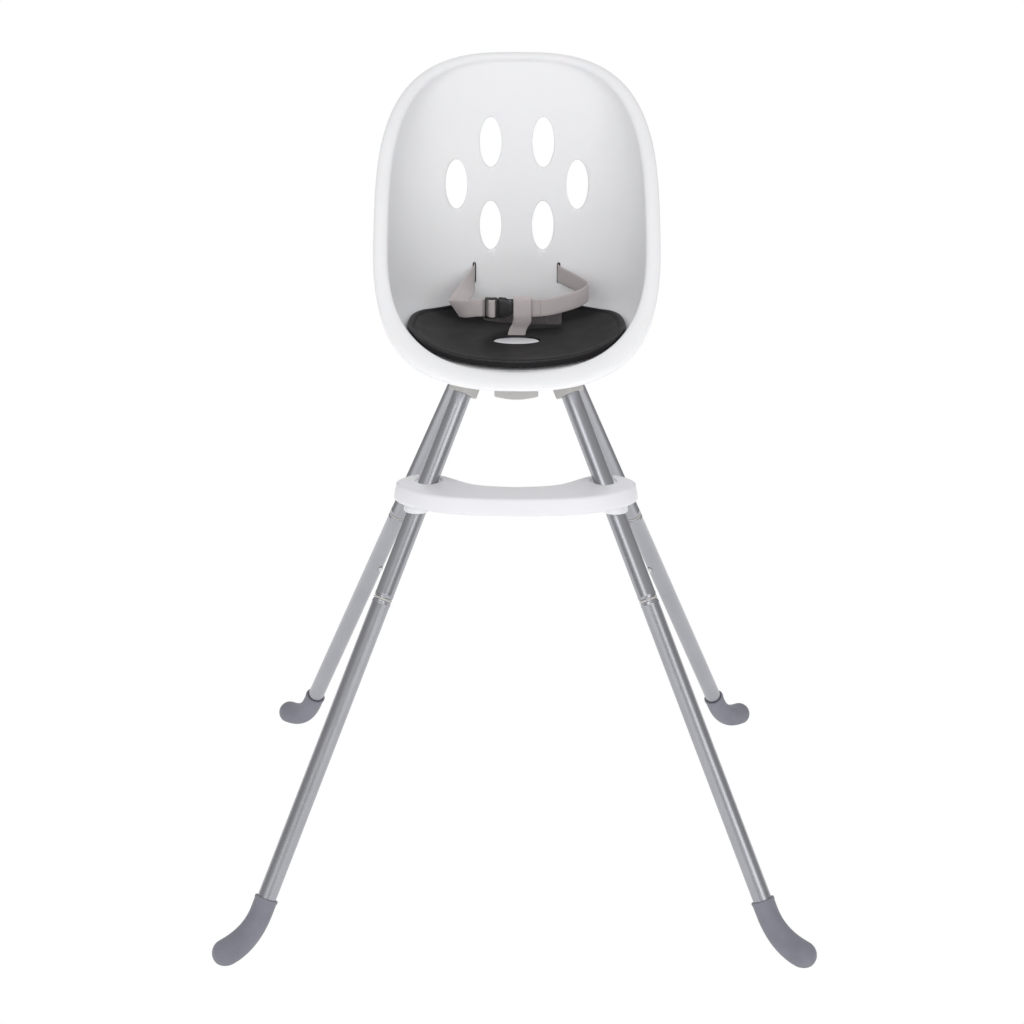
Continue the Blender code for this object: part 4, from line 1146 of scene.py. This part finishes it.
def web_frames(places, steps=10):
    """Centre, width direction and outward direction at each place along a strap."""
    path = smooth_curve([centre for centre, _ in places], steps)
    wides = smooth_curve([wide for _, wide in places], steps)
    last = len(path) - 1
    frames = []
    for i, (point, wide) in enumerate(zip(path, wides)):
        tangent = (path[min(i + 1, last)] - path[max(i - 1, 0)]).normalized()
        frames.append((point, wide, tangent.cross(wide).normalized()))
    return frames


def web_strap(name, places, mat):
    """A flat woven strap with rounded selvedges; its UV map is in metres along and across."""
    frames = web_frames(places)
    rings = []
    lengths = [0.0]
    for i, (point, across, out) in enumerate(frames):
        ripple = 0.00012 * noise.noise(point * 160.0)
        rings.append([point + across * (WEB_WIDTH / 2 * a) + out * (WEB_THICK / 2 * b + ripple)
                      for a, b in WEB_SECTION])
        if i:
            lengths.append(lengths[-1] + (point - frames[i - 1][0]).length)
    obj = object_of(name, loft(rings), mat, sharp=60.0)
    layer = obj.data.uv_layers.new(name="webbing")
    count = len(WEB_SECTION)
    for loop in obj.data.loops:
        ring, place_in_ring = divmod(loop.vertex_index, count)
        layer.data[loop.index].uv = (lengths[ring], WEB_SECTION[place_in_ring][0] * WEB_WIDTH / 2)
    return obj


def add_stitch(bm, start, end, radius=0.00028):
    """One thread stitch: a thin spindle between two points."""
    along = end - start
    side = along.orthogonal().normalized()
    other = along.normalized().cross(side)
    rows = []
    for share, size in ((0.0, 0.25), (0.2, 0.9), (0.8, 0.9), (1.0, 0.25)):
        row = []
        for k in range(6):
            angle = math.tau * k / 6
            around = side * math.cos(angle) + other * math.sin(angle)
            row.append(bm.verts.new(start + along * share + around * radius * size))
        rows.append(row)
    for low, high in zip(rows, rows[1:]):
        for k in range(6):
            j = (k + 1) % 6
            bm.faces.new((low[k], low[j], high[j], high[k]))
    bm.faces.new(rows[0])
    bm.faces.new(rows[-1])


def stitch_box(bm, frames, first, last, face, rows=(-0.8, 0.8)):
    """Lines of stitches along a strap between two of its frames, and across at both ends."""
    def spot(index, share):
        point, across, out = frames[index]
        return point + across * (WEB_WIDTH / 2 * share) + out * face * (WEB_THICK / 2 + 0.00015)
    for share in rows:
        for i in range(first, last):
            a, b = spot(i, share), spot(i + 1, share)
            add_stitch(bm, a.lerp(b, 0.12), a.lerp(b, 0.88))
    for index in (first, last):
        count = 7
        for k in range(count):
            low = rows[0] + (rows[-1] - rows[0]) * (k + 0.15) / count
            high = rows[0] + (rows[-1] - rows[0]) * (k + 0.85) / count
            add_stitch(bm, spot(index, low), spot(index, high))


def build_straps(mats):
    """Waist straps, the loose tail and the crotch strap with its sewn loop."""
    web = mats["webbing"]
    right_places = facing(WAIST_RIGHT, UPRIGHT)
    tail_places = facing(STRAP_TAIL, UPRIGHT)
    crotch_places = facing(CROTCH_PATH, ACROSS)
    left = web_strap("waist_web_left", WAIST_LEFT + facing(ADJUSTER_WRAP, UPRIGHT), web)
    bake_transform(left)
    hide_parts("waist_strap_left")
    place(web_strap("waist_web_right", right_places, web), "frame", "webbing", "waist_strap_right")
    # The tail takes the darker webbing copy, painted shade for the shadow it lies in.
    tail = web_strap("tail_web", tail_places, mats["webbing_tail_painted_shade"])
    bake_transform(tail)
    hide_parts("strap_tail")
    place(web_strap("crotch_web", crotch_places, web), "frame", "webbing", "crotch_strap")
    bm = bmesh.new()
    for places, first, last in ((right_places, 76, 82), (crotch_places, 24, 30), (tail_places, 54, 59)):
        for face in (-1, 1):
            stitch_box(bm, web_frames(places), first, last, face)
    stitches = object_of("harness_stitching", bm, mats["thread"], sharp=80.0)
    place(stitches, "frame", "webbing")


def buckle_half(name, rings, mat):
    """Rounded upright rectangles joined along x."""
    places = [[Vector((x, BUCKLE.y + b, BUCKLE.z + a)) for a, b in squircle(half, depth, 5, 48)]
              for x, half, depth in rings]
    return object_of(name, loft(places), mat)


def build_buckle(mats):
    """A side-release buckle: socket, tongue with its strap adjuster, and two squeeze arms."""
    black = mats["buckle_black"]
    x, y, z = BUCKLE
    socket = buckle_half("buckle_female", SOCKET_RINGS, black)
    mouth = object_of("mouth", slab((0.0130, 0.0056, 0.0300), (x + 0.0055, y, z)), None)
    grip_cuts = []
    for k in range(3):
        for face in (-1, 1):
            cut = slab((0.0006, 0.0006, 0.0100), (x + 0.0090 + 0.0016 * k, y + face * 0.0045, z))
            grip_cuts.append(object_of("grip", cut, None))
    carve(socket, [mouth] + grip_cuts)
    place(socket, "frame", "buckle_black", "buckle_socket")
    tongue = buckle_half("buckle_male", TONGUE_RINGS, black)
    nose = object_of("nose", slab((0.0145, 0.0040, 0.0036), (x + 0.0028, y, z), 0.0006), None)
    carve(tongue, [nose], "UNION")
    windows = [object_of("window", slab((0.0026, 0.02, 0.0202), (at, y, z), 0.0006), None)
               for at in (-0.0322, -0.0243)]
    ledge = object_of("ledge", slab((0.0060, 0.0060, 0.0202), (-0.0282, y - 0.0056, z), 0.0006), None)
    carve(tongue, windows + [ledge])
    place(tongue, "tongue", "buckle_black", "buckle_tongue")
    for name, sign in (("top", 1), ("bottom", -1)):
        arm = slab((0.0085, 0.0040, 0.0030), (x + 0.0046, y, z + sign * 0.0054), 0.0008)
        arm = object_of("squeeze_arm_" + name, arm, black)
        pad = slab((0.0048, 0.0042, 0.0054), (x + 0.0066, y, z + sign * 0.0090), 0.0013)
        carve(arm, [object_of("pad", pad, None)], "UNION")
        place(arm, "arm_" + name, "buckle_black", "buckle_arm_" + name)


# ---------------------------------------------------------------- springs

def leaf_spring(name, places, width, thick, mat, matrix):
    """A flat bent leaf through (centre, width direction) places."""
    corners = ((-1, -1), (1, -1), (1, 1), (-1, 1))
    rings = [[point + across * (width / 2 * a) + out * (thick / 2 * b) for a, b in corners]
             for point, across, out in web_frames(places, 8)]
    return object_of(name, loft(rings), mat, matrix)


def build_springs(mats):
    """The leaf behind each snap button, and the one between the hub and its lever."""
    steel = mats["steel"]
    near, far = -SPIGOT_BORE + 0.0030, SPIGOT_BORE - 0.0016
    line = [(near, 0.0, -0.0060), (near, 0.0, 0.0010), (near + 0.0004, 0.0, 0.0080), (0.0, 0.0, 0.0240),
            (far, 0.0, 0.0160), (far, 0.0, -0.0100)]
    for corner, turn in LEG_TURNS.items():
        at_button = leg_matrix(turn, JOINT_Z) @ Matrix.Translation((0.0, 0.0, -BUTTON_DROP))
        places = facing(line, (0.0, 1.0, 0.0))
        spring = leaf_spring("button_leaf_" + corner, places, *BUTTON_LEAF, steel, at_button)
        place(spring, "frame", "steel", "button_spring_" + corner)
    high, low = Vector((0.0, -0.0062, 0.0062)), Vector((0.0, -0.0058, 0.0042))
    bend = Vector((0.0, 0.0003, 0.0057))
    places = facing([LEVER_PIVOT + offset for offset in (high, bend, low)], ACROSS)
    leaf = leaf_spring("lever_leaf", places, *LEVER_LEAF, steel, None)
    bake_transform(leaf)
    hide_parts("lever_spring")


# ---------------------------------------------------------------- CAD nodes that stay

def paint_nodes(mats):
    """Give every solid that stays in view its finish."""
    kept = {"lever_pin": "steel",
            "strap_anchor_left": "buckle_black", "strap_anchor_right": "buckle_black",
            "crotch_anchor": "buckle_black"}
    for number in range(1, 5):
        kept["hub_screw_%d" % number] = "steel"
    for name, slot in kept.items():
        node = frame["nodes"][name]
        node.data.materials.clear()
        node.data.materials.append(mats[slot])


# ---------------------------------------------------------------- room

def soft_light(name, where, target, size, power):
    light = bpy.data.lights.new(name, "AREA")
    light.shape = "RECTANGLE"
    light.size, light.size_y = size
    light.energy = power
    obj = bpy.data.objects.new(name, light)
    bpy.context.scene.collection.objects.link(obj)
    obj.location = where
    obj.rotation_euler = (Vector(target) - Vector(where)).to_track_quat("-Z", "Y").to_euler()


def build_world():
    """Dimmer at the horizon than overhead, so that the tubes have dark edges; plain white to the camera."""
    world = bpy.data.worlds.new("studio")
    bpy.context.scene.world = world
    world.use_nodes = True
    tree = world.node_tree
    where = add_node(tree, "TexCoord").outputs["Generated"]
    split = add_node(tree, "SeparateXYZ", {"Vector": where})
    rise = add_node(tree, "MapRange", {"Value": split.outputs["Z"]}, From_Min=HORIZON, From_Max=ZENITH,
                    To_Min=WORLD_LOW, To_Max=WORLD_HIGH)
    lighting = tree.nodes["Background"]
    lighting.inputs["Color"].default_value = WHITE
    tree.links.new(rise.outputs["Result"], lighting.inputs["Strength"])
    backdrop = add_node(tree, "Background", Color=WHITE, Strength=1.0)
    mix = add_node(tree, "MixShader", {"Fac": add_node(tree, "LightPath").outputs["Is Camera Ray"]})
    tree.links.new(lighting.outputs["Background"], mix.inputs[1])
    tree.links.new(backdrop.outputs["Background"], mix.inputs[2])
    tree.links.new(mix.outputs["Shader"], tree.nodes["World Output"].inputs["Surface"])


def build_room():
    """Lights, world and a floor that lights the chair but is hidden from the camera."""
    bm = bmesh.new()
    bmesh.ops.create_circle(bm, cap_ends=True, segments=96, radius=FLOOR_RADIUS)
    floor = object_of("studio_floor_disc", bm, floor_material())
    floor.location.z = -FLOOR_DROP
    floor.visible_camera = False
    build_world()
    for name, where, size, power in LIGHTS:
        soft_light(name, where, LIGHT_TARGET, size, power)
    bpy.context.scene.view_settings.view_transform = "Standard"


def build_camera():
    data = bpy.data.cameras.new("camera")
    data.lens = CAMERA_LENS
    data.sensor_width = SENSOR_WIDTH
    camera = bpy.data.objects.new("camera", data)
    bpy.context.scene.collection.objects.link(camera)
    turn = Matrix.Rotation(math.radians(90) - CAMERA_DOWN, 4, "X") @ Matrix.Rotation(CAMERA_ROLL, 4, "Z")
    camera.matrix_world = Matrix.Translation(CAMERA_PLACE) @ turn
    bpy.context.scene.camera = camera


def main():
    ours = set(frame["nodes"].values()) | set(frame["bodies"].values())
    for obj in list(bpy.data.objects):
        if obj not in ours:
            bpy.data.objects.remove(obj, do_unlink=True)
    build_camera()
    build_room()
    mats = make_materials()
    build_shell(mats)
    build_liner(mats)
    build_legs(mats)
    build_hub(mats)
    build_cap(mats)
    build_lever(mats)
    build_footrest(mats)
    build_straps(mats)
    build_buckle(mats)
    build_springs(mats)
    paint_nodes(mats)


main()
